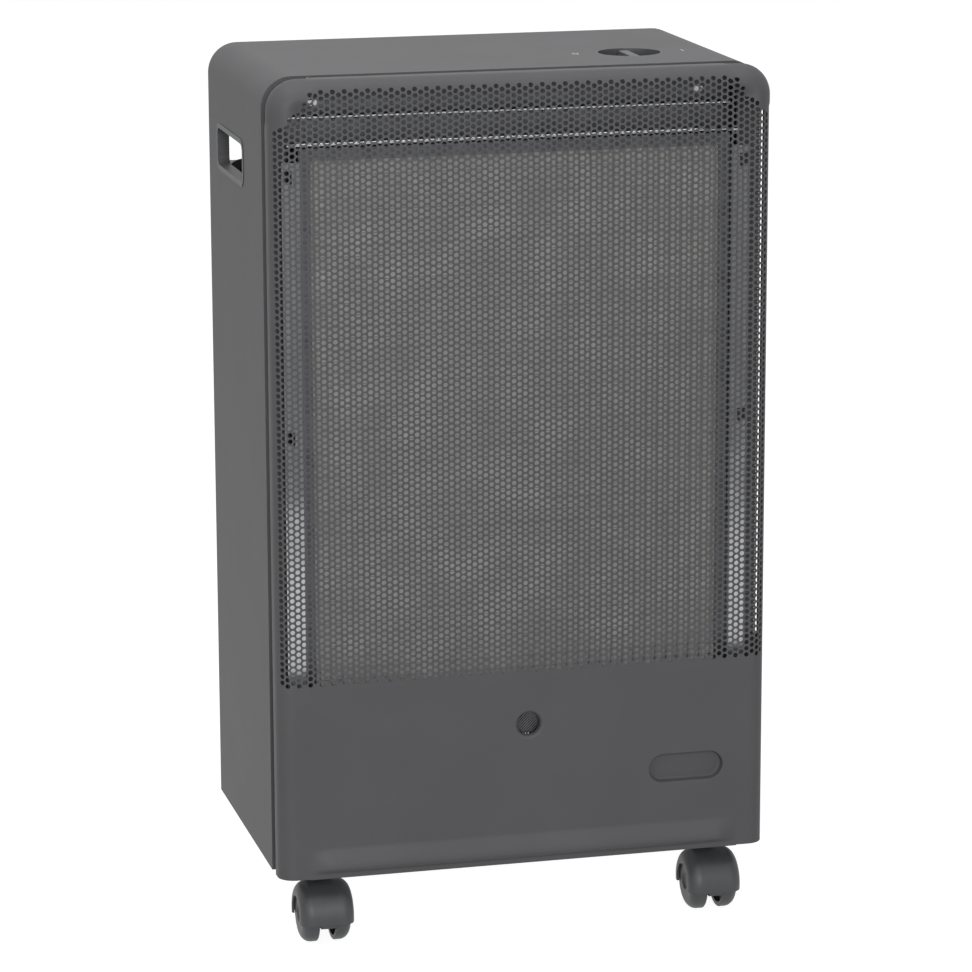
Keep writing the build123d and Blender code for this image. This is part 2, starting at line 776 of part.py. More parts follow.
def ignition_lead():
    """Insulated lead from the piezo igniter to the electrode."""
    low = lead_route - spark_lead_drop
    start_x = piezo_x + piezo_size[0] / 2
    start_z = valve_top - piezo_size[2] - seat
    pass_x = pilot_x + spark_lead_offset
    x = pilot_x - pilot_spacing
    y_back = shield_back + spark_lead_back
    y_front = shield_front - spark_lead_back / 2
    points = [
        (start_x, control_y, start_z),
        (start_x, control_y, start_z - spark_slack[0]),
        (start_x, y_back, start_z - spark_slack[1]),
        (start_x, y_back, low + spark_bend_rise),
        (pass_x, y_back, low),
        (pass_x, y_front, low),
        (x, y_front, low),
        (x, pilot_y, low),
        (x, pilot_y, pilot_low - seat),
    ]
    return pipe(points, spark_lead_bends, spark_lead_radius)


def pilot_bracket():
    """Plate under the gas box that holds burner, probe and electrode."""
    x = (pilot_x - pilot_bracket_width / 2, pilot_x + pilot_bracket_width / 2)
    y_back = pilot_y + pilot_bracket_back
    shelf = bracket_z[0] + pilot_shelf_rise
    body = slab(x, (pad_front + pilot_bracket_front, y_back), (bracket_under, bracket_z[1]))
    body += slab(x, (y_back - tray_sheet, y_back), bracket_z)
    body += slab(x, (pilot_y - pilot_shelf_front, y_back), (shelf, shelf + tray_sheet))
    for offset, radius in ((0, pilot_tube_radius), (1, probe_radius), (-1, electrode_radius)):
        place = (pilot_x + offset * pilot_spacing, pilot_y, shelf - 1)
        body -= rod(place, (0, 0, 1), radius + pilot_fit, tray_sheet + 2)
    return body


def pilot_burner():
    """Pilot tube with a side nozzle aimed at the pad."""
    high = bracket_under - pilot_tops[0]
    body = rod((pilot_x, pilot_y, pilot_low), (0, 0, 1), pilot_tube_radius, high - pilot_low)
    spout = (pilot_x, pilot_y, high - spout_drop)
    body += rod(spout, (0, -1, 0), pilot_tube_radius - 1.5, spout_length)
    return body - rod(spout, (0, -1, 0), pilot_pipe_radius, spout_length + 1)


def thermocouple():
    x = pilot_x + pilot_spacing
    high = bracket_under - pilot_tops[1]
    return rod((x, pilot_y, pilot_low), (0, 0, 1), probe_radius, high - pilot_low)


def spark_electrode():
    """Ceramic body with a thin pin."""
    x = pilot_x - pilot_spacing
    high = bracket_under - pilot_tops[2]
    body = rod((x, pilot_y, pilot_low), (0, 0, 1), electrode_radius, high - pin_length - pilot_low)
    return body + rod((x, pilot_y, high - pin_length), (0, 0, 1), pin_radius, pin_length)


# Handles


def side_handle(side):
    """Moulded insert: a thin rim outside and a short open sleeve inside."""
    outside = half + handle_rim_height
    sleeve = sideways(handle_opening(0), half - handle_depth, outside - half + handle_depth)
    rim = sideways(handle_opening(handle_rim), half + seat, handle_rim_height - seat)
    body = sleeve + rim
    through = handle_depth + handle_rim_height + 2
    body -= sideways(handle_opening(-handle_wall), half - handle_depth - 1, through)
    return body if side > 0 else mirror(body, Plane.YZ)


# Rear cover

cover_low = bottom + cover_rise
cover_top = cover_low + cover_height
cover_front = shell_back + cover_gap


def cover_block(inset, beyond):
    """The cover's outside, or its inside when inset, drawn past its open sides."""
    x = cover_half - inset
    y = (cover_front - beyond, cover_back - inset)
    z = (cover_low - beyond, cover_top - inset)
    body = slab((-x, x), y, z)
    rear = body.faces().sort_by(Axis.Y)[-1].edges()
    return fillet([edge for edge in rear if edge.center().Z > z[0] + 1], cover_edge - inset)


def louvres():
    """Two fields of air slots in the cover's back."""
    slot = pill(louvre_length, louvre_height)
    rows = [cover_low + louvre_rise + row * louvre_pitch for row in range(louvre_count)]
    slots = [Pos(x, z) * slot for x in (-louvre_x, louvre_x) for z in rows]
    return upright(Sketch() + slots, cover_back + 1, cover_sheet + 2)


def rear_cover():
    """Deep pan over the bottle, flanged at its front edge, pivoted low at the back."""
    wide = cover_half + cover_flange
    z = (cover_low + cover_edge, cover_top + cover_flange)
    rim = slab((-wide, wide), (cover_front, cover_front + cover_sheet), z)
    rim = fillet(rim.edges().filter_by(Axis.Y).group_by(Axis.Z)[-1], cover_edge)
    body = cover_block(0, 0) + rim - cover_block(cover_sheet, 1)
    for side in (-1, 1):
        start = (side * cover_half - 2 * cover_sheet, pivot_y, pivot_z)
        body -= rod(start, (1, 0, 0), pivot_radius + running, 4 * cover_sheet)
    return body - louvres()


def cover_pins():
    """Two headed pins fixed in the cover that turn in the tray's ears."""
    length = cover_sheet + 2 * seat + tray_side_gap + tray_sheet + pin_end
    pins = []
    for side in (-1, 1):
        start = (side * (cover_half + seat), pivot_y, pivot_z)
        pin = rod(start, (-side, 0, 0), pivot_radius, length)
        pins.append(pin + rod(start, (side, 0, 0), pivot_head, pin_head_height))
    return Compound(pins)


# Casters


def barrel(radius, width, edge):
    """A round body with rounded rims, turned about the wheel axle."""
    w = width / 2
    side = Line((w, 0), (w, radius - edge))
    rim = RadiusArc(side @ 1, (w - edge, radius), -edge)
    tread = Line(rim @ 1, (0, radius))
    outline = make_face(side + rim + tread + Polyline((0, radius), (0, 0), (w, 0)))
    half_body = revolve(outline, Axis.X)
    return half_body + mirror(half_body, Plane.YZ)


def wheel(side):
    """Wheel turned about the axle, blind bore, dished on its inner side."""
    w = wheel_width
    e = wheel_edge
    r = wheel_radius
    t = wheel_rim
    hub = 2 * axle_radius
    bore = axle_radius + running
    rim = RadiusArc((w - e, r), (w, r - e), e)
    outside = [(w, r - e), (w, hub + 2), (w - 1.5, hub), (w - 1.5, 0), (w - t + 0.5, 0), (w - t + 0.5, bore)]
    inside = [(0, bore), (0, hub + 1), (t, hub + 3), (t, r - t), (0, r - t)]
    inside += [(0, r - 0.6), (0.6, r), (w - e, r)]
    rest = Polyline(*outside, *inside)
    body = revolve(make_face(rim + rest), Axis.X)
    body = Pos(wheel_gap / 2 + wheel_clearance, 0, 0) * body
    return body if side > 0 else mirror(body, Plane.YZ)


wheel_space = wheel_radius + 2 * wheel_clearance
wheels_width = wheel_gap + 2 * wheel_width + 4 * wheel_clearance
hood_radius = wheel_space + hood_wall
hood_top = tray_bottom - 2 * seat - socket_flange_height - wheel_radius


def caster_hood():
    """Hood over both wheels with a web between them and a boss for the stem."""
    low = hood_skirt - wheel_radius
    past = 2 * hood_radius  # cuts that run clear of the hood
    all_of_it = (-past, past)
    body = barrel(hood_radius, wheels_width + 2 * hood_wall, wheel_edge + hood_wall)
    boss = rod((0, caster_trail, low), (0, 0, 1), boss_radius, hood_top - low)
    body = body + boss
    body -= slab(all_of_it, all_of_it, (-past, low))
    web = rod((-wheel_gap / 2, 0, 0), (1, 0, 0), hood_radius - web_inset, wheel_gap)
    web -= slab(all_of_it, all_of_it, (-past, web_rise - wheel_radius))
    space = barrel(wheel_space, wheels_width, wheel_edge)
    body -= space - slab((-wheel_gap / 2, wheel_gap / 2), all_of_it, all_of_it)
    body += web
    body -= rod((-past, 0, 0), (1, 0, 0), hood_window, past - wheel_gap / 2)
    body -= rod((past, 0, 0), (-1, 0, 0), hood_window, past - wheel_gap / 2)
    body -= rod((-past, 0, 0), (1, 0, 0), axle_radius, 2 * past)
    return body - rod((0, caster_trail, hood_top - stem_length), (0, 0, 1), stem_radius, 2 * stem_length)


def caster_stem():
    low = hood_top - stem_length
    length = stem_length + socket_height - 2 * socket_flange_height
    return rod((0, caster_trail, low), (0, 0, 1), stem_radius, length)


def caster_axle():
    reach = wheel_gap / 2 + wheel_clearance + wheel_width - wheel_rim
    return rod((-reach, 0, 0), (1, 0, 0), axle_radius, 2 * reach)


def caster(name, place):
    """The five pieces of one caster, placed under its socket."""
    x, y = place
    spot = Pos(x, y - caster_trail, wheel_radius)
    return {
        f"caster_{name}_hood": spot * caster_hood(),
        f"caster_{name}_stem": spot * caster_stem(),
        f"caster_{name}_axle": spot * caster_axle(),
        f"caster_{name}_wheel_left": spot * wheel(-1),
        f"caster_{name}_wheel_right": spot * wheel(1),
    }


def build():
    nodes = {
        "cabinet_shell": cabinet_shell(),
        "front_fascia": front_fascia(),
        "fascia_screws": fascia_screws(),
        "base_tray": base_tray(),
        "caster_sockets": caster_sockets(),
        "heat_shield": heat_shield(),
        "burner_standoffs": burner_standoffs(),
        "burner_housing": burner_housing(),
        "catalyst_pad": catalyst_pad(),
        "pad_mesh": pad_mesh(),
        "panel_frame": panel_frame(),
        "side_reflector_left": side_reflector(-1),
        "side_reflector_right": side_reflector(1),
        "top_deflector": top_deflector(),
        "deflector_screws": deflector_screws(),
        "gas_valve": gas_valve(),
        "valve_bracket": valve_bracket(),
        "valve_spindle": valve_spindle(),
        "control_knob": control_knob(),
        "dial_bowl": dial_bowl(),
        "piezo_igniter": piezo_igniter(),
        "inlet_nozzle": inlet_nozzle(),
        "injector": injector(),
        "main_gas_pipe": main_gas_pipe(),
        "pilot_pipe": pilot_pipe(),
        "thermocouple_lead": thermocouple_lead(),
        "ignition_lead": ignition_lead(),
        "pilot_bracket": pilot_bracket(),
        "pilot_burner": pilot_burner(),
        "thermocouple": thermocouple(),
        "spark_electrode": spark_electrode(),
        "handle_left": side_handle(-1),
        "handle_right": side_handle(1),
        "rear_cover": rear_cover(),
        "cover_pins": cover_pins(),
    }
    for name, place in caster_places.items():
        nodes.update(caster(name, place))
    return nodes


os.makedirs("parts", exist_ok=True)
for node, shape in build().items():
    export_step(shape, f"parts/{node}.step")
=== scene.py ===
import json
import math

import bmesh
import bpy
import numpy as np
from mathutils import Matrix, Vector
from mathutils.geometry import delaunay_2d_cdt


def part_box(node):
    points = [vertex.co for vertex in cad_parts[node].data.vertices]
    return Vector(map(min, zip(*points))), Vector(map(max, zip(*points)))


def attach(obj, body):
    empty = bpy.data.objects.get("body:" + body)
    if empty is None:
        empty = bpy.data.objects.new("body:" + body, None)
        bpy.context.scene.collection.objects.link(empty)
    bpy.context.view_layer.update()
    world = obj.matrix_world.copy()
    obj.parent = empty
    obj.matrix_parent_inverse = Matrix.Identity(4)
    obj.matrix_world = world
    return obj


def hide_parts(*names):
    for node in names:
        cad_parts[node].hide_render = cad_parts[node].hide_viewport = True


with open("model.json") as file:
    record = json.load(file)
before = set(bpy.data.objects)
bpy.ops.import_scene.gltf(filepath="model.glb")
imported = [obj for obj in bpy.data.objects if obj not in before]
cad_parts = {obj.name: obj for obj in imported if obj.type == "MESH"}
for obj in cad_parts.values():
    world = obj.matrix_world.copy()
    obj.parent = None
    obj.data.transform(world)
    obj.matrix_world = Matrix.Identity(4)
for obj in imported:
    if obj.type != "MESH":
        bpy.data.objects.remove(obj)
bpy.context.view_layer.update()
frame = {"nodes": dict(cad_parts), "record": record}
print("frame loaded")

mm = 0.001
tiny = 1e-6  # mm, closer than this is the same place

# The cabinet in millimetres, as the solids have it: x from the middle, y back, z up.
cabinet = {
    "half": 210.0,
    "bottom": 62.0,
    "top": 728.0,
    "front": -195.0,
    "cornerRadius": 25.0,
    "sheet": 1.0,
}


# The camera, fitted to the photograph.
camera = {
    "place": (-837.66, -3393.88, 1157.87),  # mm
    "azimuth": -14.108,
    "elevation": 13.113,
    "roll": -0.177,
    "lens": 152.73,
    "sensor": 36.0,
    "clip": (0.1, 50),  # metres
}


def makeCamera():
    data = bpy.data.cameras.new("camera")
    data.lens = camera["lens"]
    data.sensor_width = camera["sensor"]
    data.clip_start, data.clip_end = camera["clip"]
    a = math.radians(camera["azimuth"])
    e = math.radians(camera["elevation"])
    t = math.radians(camera["roll"])
    forward = Vector((math.sin(-a) * math.cos(e), math.cos(a) * math.cos(e), -math.sin(e)))
    right = forward.cross(Vector((0, 0, 1))).normalized()
    up = right.cross(forward)
    turnedRight = math.cos(t) * right + math.sin(t) * up
    turnedUp = -math.sin(t) * right + math.cos(t) * up
    turn = Matrix((turnedRight, turnedUp, -forward)).transposed().to_4x4()
    seat = Matrix.Translation(Vector(camera["place"]) * mm)
    obj = bpy.data.objects.new("camera", data)
    obj.matrix_world = seat @ turn
    bpy.context.scene.collection.objects.link(obj)
    bpy.context.scene.camera = obj


makeCamera()
print("camera placed")


def linear(hexValue):
    # sRGB hex to linear red, green, blue and full opacity
    parts = [int(hexValue[i:i + 2], 16) / 255 for i in (1, 3, 5)]
    light = [c / 12.92 if c <= 0.04045 else ((c + 0.055) / 1.055) ** 2.4 for c in parts]
    return (*light, 1.0)


def addNode(tree, kind, settings=None, inputs=None, output=None, stops=()):
    # settings are the node's own properties, inputs are values or sockets that feed it,
    # output is the name or number of its socket to give back, where only that is needed,
    # and stops are a ramp's places and colours
    node = tree.nodes.new(kind)
    for name, value in (settings or {}).items():
        setattr(node, name, value)
    for name, value in (inputs or {}).items():
        if isinstance(value, bpy.types.NodeSocket):
            tree.links.new(value, node.inputs[name])
        else:
            node.inputs[name].default_value = value
    for i, (position, colour) in enumerate(stops):
        elements = node.color_ramp.elements
        while len(elements) < len(stops):
            elements.new(0.5)
        elements[i].position = position
        elements[i].color = linear(colour)
    return node.outputs[output] if output is not None else node


def newMaterial(name, roughness, metallic=0.0, ior=1.5):
    material = bpy.data.materials.new(name)
    material.use_nodes = True
    tree = material.node_tree
    shader = tree.nodes["Principled BSDF"]
    shader.inputs["Roughness"].default_value = roughness
    shader.inputs["Metallic"].default_value = metallic
    if metallic == 0.0:
        shader.inputs["IOR"].default_value = ior
    place = addNode(tree, "ShaderNodeTexCoord", output="Object")
    return material, tree, shader, place


def perMetre(sizeMm):
    # noise scale whose features are about sizeMm across
    return 1.0 / (sizeMm * mm)


def mottle(tree, shader, place, sizeMm, stops, detail=2.0):
    # a base colour that wanders from stop to stop over about sizeMm
    patches = {"Vector": place, "Scale": perMetre(sizeMm), "Detail": detail}
    cloud = addNode(tree, "ShaderNodeTexNoise", None, patches, "Fac")
    colour = addNode(tree, "ShaderNodeValToRGB", None, {"Fac": cloud}, "Color", stops)
    tree.links.new(colour, shader.inputs["Base Color"])


def roughen(tree, shader, place, sizeMm, strength, depthMm, detail=2.0):
    # a relief of lumps about sizeMm across
    lumps = {"Vector": place, "Scale": perMetre(sizeMm), "Detail": detail}
    height = addNode(tree, "ShaderNodeTexNoise", None, lumps, "Fac")
    relief = {"Height": height, "Strength": strength, "Distance": depthMm * mm}
    normal = addNode(tree, "ShaderNodeBump", None, relief, "Normal")
    tree.links.new(normal, shader.inputs["Normal"])


# Polyester powder coat on pressed steel: baked on, it flows into a soft orange peel about
# 1.5 mm across, drawn at 2.5 mm so that it shows; the eye sees a dull, even grey.
def makePowderCoat():
    material, tree, shader, place = newMaterial("powderCoatedSteel", roughness=0.58)
    shader.inputs["Specular IOR Level"].default_value = 0.34
    mottle(tree, shader, place, sizeMm=60.0, stops=[(0.35, "#535355"), (0.65, "#565658")])
    roughen(tree, shader, place, sizeMm=2.5, strength=0.12, depthMm=0.25, detail=3.0)
    return material


# Zinc plated steel: rolled sheet or drawn bar with a thin grey zinc skin; it looks like
# dull silver with a faint cloudiness where the passivation varies. A dark grey copy of it
# is painted shade for the parts deep inside the cabinet.
def makeZinc(name, dark, light):
    material, tree, shader, place = newMaterial(name, roughness=0.38, metallic=1.0)
    mottle(tree, shader, place, sizeMm=12.0, stops=[(0.3, dark), (0.7, light)])
    patches = {"Vector": place, "Scale": perMetre(4.0)}
    cloud = addNode(tree, "ShaderNodeTexNoise", None, patches, "Fac")
    shine = {"Value": cloud, "To Min": 0.3, "To Max": 0.5}
    uneven = addNode(tree, "ShaderNodeMapRange", None, shine, "Result")
    tree.links.new(uneven, shader.inputs["Roughness"])
    return material


# A painted reflection: the reflectors' foot is drawn brighter than the painted shade above
# it. Its height and fade are in metres, the patches of its ragged edge in mm.
paintedReflectionFoot = {"colour": "#E6E7E8", "below": 0.36, "fade": 0.12, "patch": 30.0}


def addPaintedReflection(tree, place, colour):
    up = addNode(tree, "ShaderNodeSeparateXYZ", None, {"Vector": place}, "Z")
    patches = {"Vector": place, "Scale": perMetre(paintedReflectionFoot["patch"])}
    cloud = addNode(tree, "ShaderNodeTexNoise", None, patches, "Fac")
    ragged = addNode(
        tree, "ShaderNodeMath", {"operation": "MULTIPLY_ADD"},
        {0: cloud, 1: paintedReflectionFoot["fade"], 2: up}, 0,
    )
    edge = {
        "Value": ragged,
        "From Min": paintedReflectionFoot["below"] + paintedReflectionFoot["fade"],
        "From Max": paintedReflectionFoot["below"],
        "To Min": 0.0,
        "To Max": 1.0,
    }
    smooth = {"interpolation_type": "SMOOTHSTEP"}
    # share of the painted reflection, 1 at the foot and 0 above it
    reflectionShare = addNode(tree, "ShaderNodeMapRange", smooth, edge, "Result")
    both = {"Factor": reflectionShare, "A": colour, "B": linear(paintedReflectionFoot["colour"])}
    return addNode(tree, "ShaderNodeMix", {"data_type": "RGBA"}, both, "Result")


# Rolled aluminium: the mill's rolls leave fine lines along the strip, drawn 1.2 mm apart
# so that they show, and lamps stretch into long soft streaks across it. The reflectors are
# drawn a middle grey, which is painted shade, with a brighter foot, which is a painted
# reflection; a bright copy is painted highlight on the deflector's hems and the screws.
def makeRolledAluminium(name, dark, light, roughness, paintedFoot):
    material, tree, shader, place = newMaterial(name, roughness, metallic=1.0)
    along = {"Vector": place, "Scale": (1.0, 1.0, 0.05)}
    stretched = addNode(tree, "ShaderNodeMapping", None, along, "Vector")
    rolled = {"Vector": stretched, "Scale": perMetre(1.2)}
    lines = addNode(tree, "ShaderNodeTexNoise", None, rolled, "Fac")
    stops = [(0.3, dark), (0.7, light)]
    colour = addNode(tree, "ShaderNodeValToRGB", None, {"Fac": lines}, "Color", stops)
    # painted reflection: the foot brighter than the painted shade above it
    if paintedFoot:
        colour = addPaintedReflection(tree, place, colour)
    tree.links.new(colour, shader.inputs["Base Color"])
    relief = {"Height": lines, "Strength": 0.1, "Distance": 0.05 * mm}
    normal = addNode(tree, "ShaderNodeBump", None, relief, "Normal")
    tree.links.new(normal, shader.inputs["Normal"])
    return material


# Ceramic fibre felt: needled mineral fibre with a catalyst wash; it is quite matt,
# mottled in soft patches, and its surface is uneven where fibres stand up.
def makeFibreFelt():
    material, tree, shader, place = newMaterial("ceramicFibreFelt", roughness=0.95)
    washed = [(0.3, "#CACAC9"), (0.5, "#D6D6D5"), (0.7, "#E8E8E7")]
    mottle(tree, shader, place, sizeMm=34.0, stops=washed, detail=5.0)
    roughen(tree, shader, place, sizeMm=3.0, strength=0.8, depthMm=1.5, detail=5.0)
    return material


# Stainless wire: drawn and welded at its crossings, tanned a little by the heat.
def makeStainlessWire():
    material, tree, shader, place = newMaterial("stainlessWire", roughness=0.35, metallic=1.0)
    mottle(tree, shader, place, sizeMm=18.0, stops=[(0.35, "#86837E"), (0.65, "#A09C94")])
    return material


# Brass: turned from bar, slightly darker in places, with faint tool marks drawn at 0.8 mm
# so that they show.
def makeBrass():
    material, tree, shader, place = newMaterial("turnedBrass", roughness=0.3, metallic=1.0)
    mottle(tree, shader, place, sizeMm=6.0, stops=[(0.3, "#B08D4A"), (0.7, "#CBA860")])
    roughen(tree, shader, place, sizeMm=0.8, strength=0.15, depthMm=0.05)
    return material


# Copper pipe: drawn and annealed, browned in soft clouds.
def makeCopper():
    material, tree, shader, place = newMaterial("drawnCopper", roughness=0.34, metallic=1.0)
    mottle(tree, shader, place, sizeMm=10.0, stops=[(0.3, "#9A5B3C"), (0.7, "#C98562")])
    return material


# Ground steel: centreless ground bar, bright, with fine rings drawn 0.25 mm apart, which
# is coarser than the grinding wheel leaves them.
def makeGroundSteel():
    material, tree, shader, place = newMaterial("groundSteel", roughness=0.25, metallic=1.0)
    across = {"Vector": place, "Scale": (1.0, 1.0, 12.0)}
    packed = addNode(tree, "ShaderNodeMapping", None, across, "Vector")
    ground = {"Vector": packed, "Scale": perMetre(3.0)}
    rings = addNode(tree, "ShaderNodeTexNoise", None, ground, "Fac")
    stops = [(0.3, "#A9AAAC"), (0.7, "#C4C5C6")]
    colour = addNode(tree, "ShaderNodeValToRGB", None, {"Fac": rings}, "Color", stops)
    tree.links.new(colour, shader.inputs["Base Color"])
    return material


# Silicone sleeve: extruded, matt, off-white, a little dusty.
def makeSilicone():
    material, tree, shader, place = newMaterial("siliconeSleeve", roughness=0.6, ior=1.43)
    mottle(tree, shader, place, sizeMm=5.0, stops=[(0.3, "#C9C7C0"), (0.7, "#D9D7D1")])
    return material


# Glazed alumina: fired ceramic with a thin glass skin, white with small iron specks.
def makeGlazedCeramic():
    material, tree, shader, place = newMaterial("glazedAlumina", roughness=0.12, ior=1.6)
    mottle(tree, shader, place, sizeMm=1.2, stops=[(0.28, "#B9B2A4"), (0.36, "#E6E3DA")])
    return material


# Moulded ABS and nylon: spark-eroded mould grain about 0.4 mm across, drawn at 1 mm so
# that it shows; the grain breaks up reflections into an even dark sheen.
def makeMoulded(name, dark, light, roughness):
    material, tree, shader, place = newMaterial(name, roughness, ior=1.52)
    mottle(tree, shader, place, sizeMm=14.0, stops=[(0.35, dark), (0.65, light)])
    roughen(tree, shader, place, sizeMm=1.0, strength=0.2, depthMm=0.12)
    return material


# Pad-printed ink: a thin matt layer of pale grey, slightly uneven in shade.
def makeInk():
    material, tree, shader, place = newMaterial("padPrintedInk", roughness=0.55)
    mottle(tree, shader, place, sizeMm=0.8, stops=[(0.3, "#C4C5C6"), (0.7, "#D6D7D8")])
    return material


finish = {
    "powder_coat": makePowderCoat(),
    "zinc_steel": makeZinc("zincPlatedSteel", "#9DA0A2", "#B7B9BA"),
    # the reflectors' middle grey is painted shade, with a painted reflection at their foot
    "bright_aluminium": makeRolledAluminium(
        "rolledAluminium", "#808184", "#949598", roughness=0.3, paintedFoot=True,
    ),
    "ceramic_fibre": makeFibreFelt(),
    "stainless_mesh": makeStainlessWire(),
    "brass": makeBrass(),
    "spindle_steel": makeGroundSteel(),
    "copper_pipe": makeCopper(),
    "lead_sleeve": makeSilicone(),
    "electrode_ceramic": makeGlazedCeramic(),
    "black_plastic": makeMoulded("mouldedAbs", "#4A4B4D", "#505153", 0.5),
    "caster_plastic": makeMoulded("mouldedNylon", "#3D3E40", "#434446", 0.48),
    "caster_steel": makeZinc("zincPlatedBar", "#9DA0A2", "#B7B9BA"),
}
ink = makeInk()
# a dark grey copy of the zinc: painted shade for the parts inside the cabinet
shadedZinc = makeZinc("paintedShadeZinc", "#56575A", "#6B6C6F")
# a bright copy of the aluminium: painted highlight for the deflector's hems and the screws
highlightAluminium = makeRolledAluminium(
    "paintedHighlightAluminium", "#E4E5E6", "#F2F2F3", roughness=0.18, paintedFoot=False,
)
# parts inside the cabinet that take the dark copy of the zinc, as painted shade
paintedShadeParts = ("panel_frame", "burner_housing", "burner_standoffs", "heat_shield")
glintScrews = ("fascia_screws", "deflector_screws")  # painted highlight, as bright as the hems' painted highlight

for part in frame["record"]["subparts"]:
    mesh = frame["nodes"][part["node"]].data
    mesh.materials.clear()
    if part["node"] in paintedShadeParts:
        mesh.materials.append(shadedZinc)
    elif part["node"] in glintScrews:
        mesh.materials.append(highlightAluminium)
    else:
        mesh.materials.append(finish[part["material_slot"]])
print("materials made")


# The front fascia, one pressed sheet. Places are in mm: x from the middle, heights above
# the cabinet's bottom.
fascia = {
    "seamDepth": 36.0,  # front face to the shell
    "edgeRoll": 14.0,  # radius of the turn at the front
    "seamRoll": (16.0, 6.0),  # radius of the turn towards the shell, at the sides and on top
    "lip": 3.0,
    "arcStep": 1.6,  # between the lines past the holes
    "columns": 77,  # of holes between the two corner centres
    "wrappedColumns": 5,  # of holes on each rolled side
    "rowPitch": 5.3417,
    "wrappedHalfRows": 7,
    "fieldBottom": 165.6,
    "holeRadius": 2.1,
    "plainRows": 54,  # lines between the ridge and the holes
    "slotAcross": 43.2,  # along the profile, where the open slot starts
    "slotLow": 178.0,
    "slotHigh": 628.0,
    "slotHalf": 174.0,
    "ridgeLow": 5.0,
    "ridgeHigh": 27.0,
    "ridgeHeight": 5.0,
    "ridgeHalf": 186.0,
    "ridgeCrest": 0.22,  # share of the ridge below its crest
    "ridgeEase": 1.5,  # how hollow it runs out above
    "ridgeEnd": 20.0,  # over which it dies away at each end
    "ridgeLines": (
        0.8, 2.0, 3.5, 5.0, 5.6, 6.4, 7.2, 8.0, 8.8, 9.8, 11.0, 12.4, 14.0, 15.8, 17.6, 19.6,
        21.8, 24.2, 27.0,
    ),
    "bottomFold": 13.0,  # how far back the bottom edge is turned
    "bottomBends": 3,  # steps round that turn
    "cornerRun": 13.0,  # how far the pressed corner reaches along each side
    "cornerEnd": 6.0,  # over which it ends
    "cornerTurns": 14,  # steps round the corner
    "cornerMargin": 3.0,  # the corner without holes starts this far inside its centre line
    "cornerClear": 8.0,  # and lies further out than this, across and up together
    "pressingReach": 3.0,  # plain sheet kept round a pressing
}
# The pressed corner's own profile: mm out and back. A ball that turns in again behind.
cornerProfile = [
    (0.0, 0.0), (4.0, -1.6), (8.0, -3.4), (12.0, -3.8), (16.0, -2.4), (19.5, 0.6), (22.4, 4.2),
    (24.6, 8.6), (25.6, 12.6), (25.2, 16.6), (23.6, 20.6), (22.2, 25.0), (21.6, 30.0),
    (21.2, 36.0),
]
cornerX = cabinet["half"] - cabinet["cornerRadius"]
cornerZ = cabinet["top"] - cabinet["bottom"] - cabinet["cornerRadius"]


def eased(t):
    # 0 to 1 without a kink at either end
    return t * t * (3 - 2 * t)


def seamRollAt(up):
    # up is 0 at a side and 1 on top
    return fascia["seamRoll"][0] + (fascia["seamRoll"][1] - fascia["seamRoll"][0]) * up


def profileLength(up):
    roll = seamRollAt(up)
    return (
        cabinet["cornerRadius"] + fascia["seamDepth"] - 2 * fascia["edgeRoll"] - roll
        + (fascia["edgeRoll"] + roll) * math.pi / 2 + fascia["lip"]
    )


def plainProfile(s, up):
    # s runs outwards from the corner's centre: out and back, mm
    flat = cabinet["cornerRadius"] - fascia["edgeRoll"]
    if s <= flat:
        return s, 0.0
    s -= flat
    roll = fascia["edgeRoll"]
    if s <= roll * math.pi / 2:
        return flat + roll * math.sin(s / roll), roll * (1 - math.cos(s / roll))
    s -= roll * math.pi / 2
    turn = seamRollAt(up)
    side = fascia["seamDepth"] - roll - turn
    if s <= side:
        return flat + roll, roll + s
    s -= side
    base = cabinet["cornerRadius"] - turn
    if s <= turn * math.pi / 2:
        return base + turn * math.cos(s / turn), roll + side + turn * math.sin(s / turn)
    return base - (s - turn * math.pi / 2), fascia["seamDepth"]


def pressedProfile(share):
    # the pressed corner's profile at a share of its length, on a smooth curve
    run = [0.0]
    for a, b in zip(cornerProfile, cornerProfile[1:]):
        run.append(run[-1] + math.hypot(b[0] - a[0], b[1] - a[1]))
    at = share * run[-1]
    i = max(k for k in range(len(run) - 1) if run[k] <= at)
    t = (at - run[i]) / (run[i + 1] - run[i])
    last = len(cornerProfile) - 1
    near = [cornerProfile[max(0, min(k, last))] for k in (i - 1, i, i + 1, i + 2)]
    weights = (
        (-t + 2 * t * t - t ** 3) / 2, (2 - 5 * t * t + 3 * t ** 3) / 2,
        (t + 4 * t * t - 3 * t ** 3) / 2, (t ** 3 - t * t) / 2,
    )
    return tuple(sum(w * point[axis] for w, point in zip(weights, near)) for axis in (0, 1))


def edgeProfile(s, up, pressed):
    # out and back in mm, then the normal's share outwards and to the front
    whole = profileLength(up)
    step = 0.05

    def spot(at):
        at = min(max(at, 0.0), whole)
        plain = plainProfile(at, up)
        if pressed <= 0:
            return plain
        ball = pressedProfile(at / whole)
        return tuple(a + (b - a) * pressed for a, b in zip(plain, ball))

    out, back = spot(s)
    ahead, behind = spot(s + step), spot(s - step)
    run = math.hypot(ahead[0] - behind[0], ahead[1] - behind[1]) or 1.0
    return out, back, (ahead[1] - behind[1]) / run, (ahead[0] - behind[0]) / run


def pressedShare(along):
    # 1 in the pressed corner, 0 past its end; along is the distance before the corner
    return eased(min(max((fascia["cornerRun"] - along) / fascia["cornerEnd"], 0), 1))


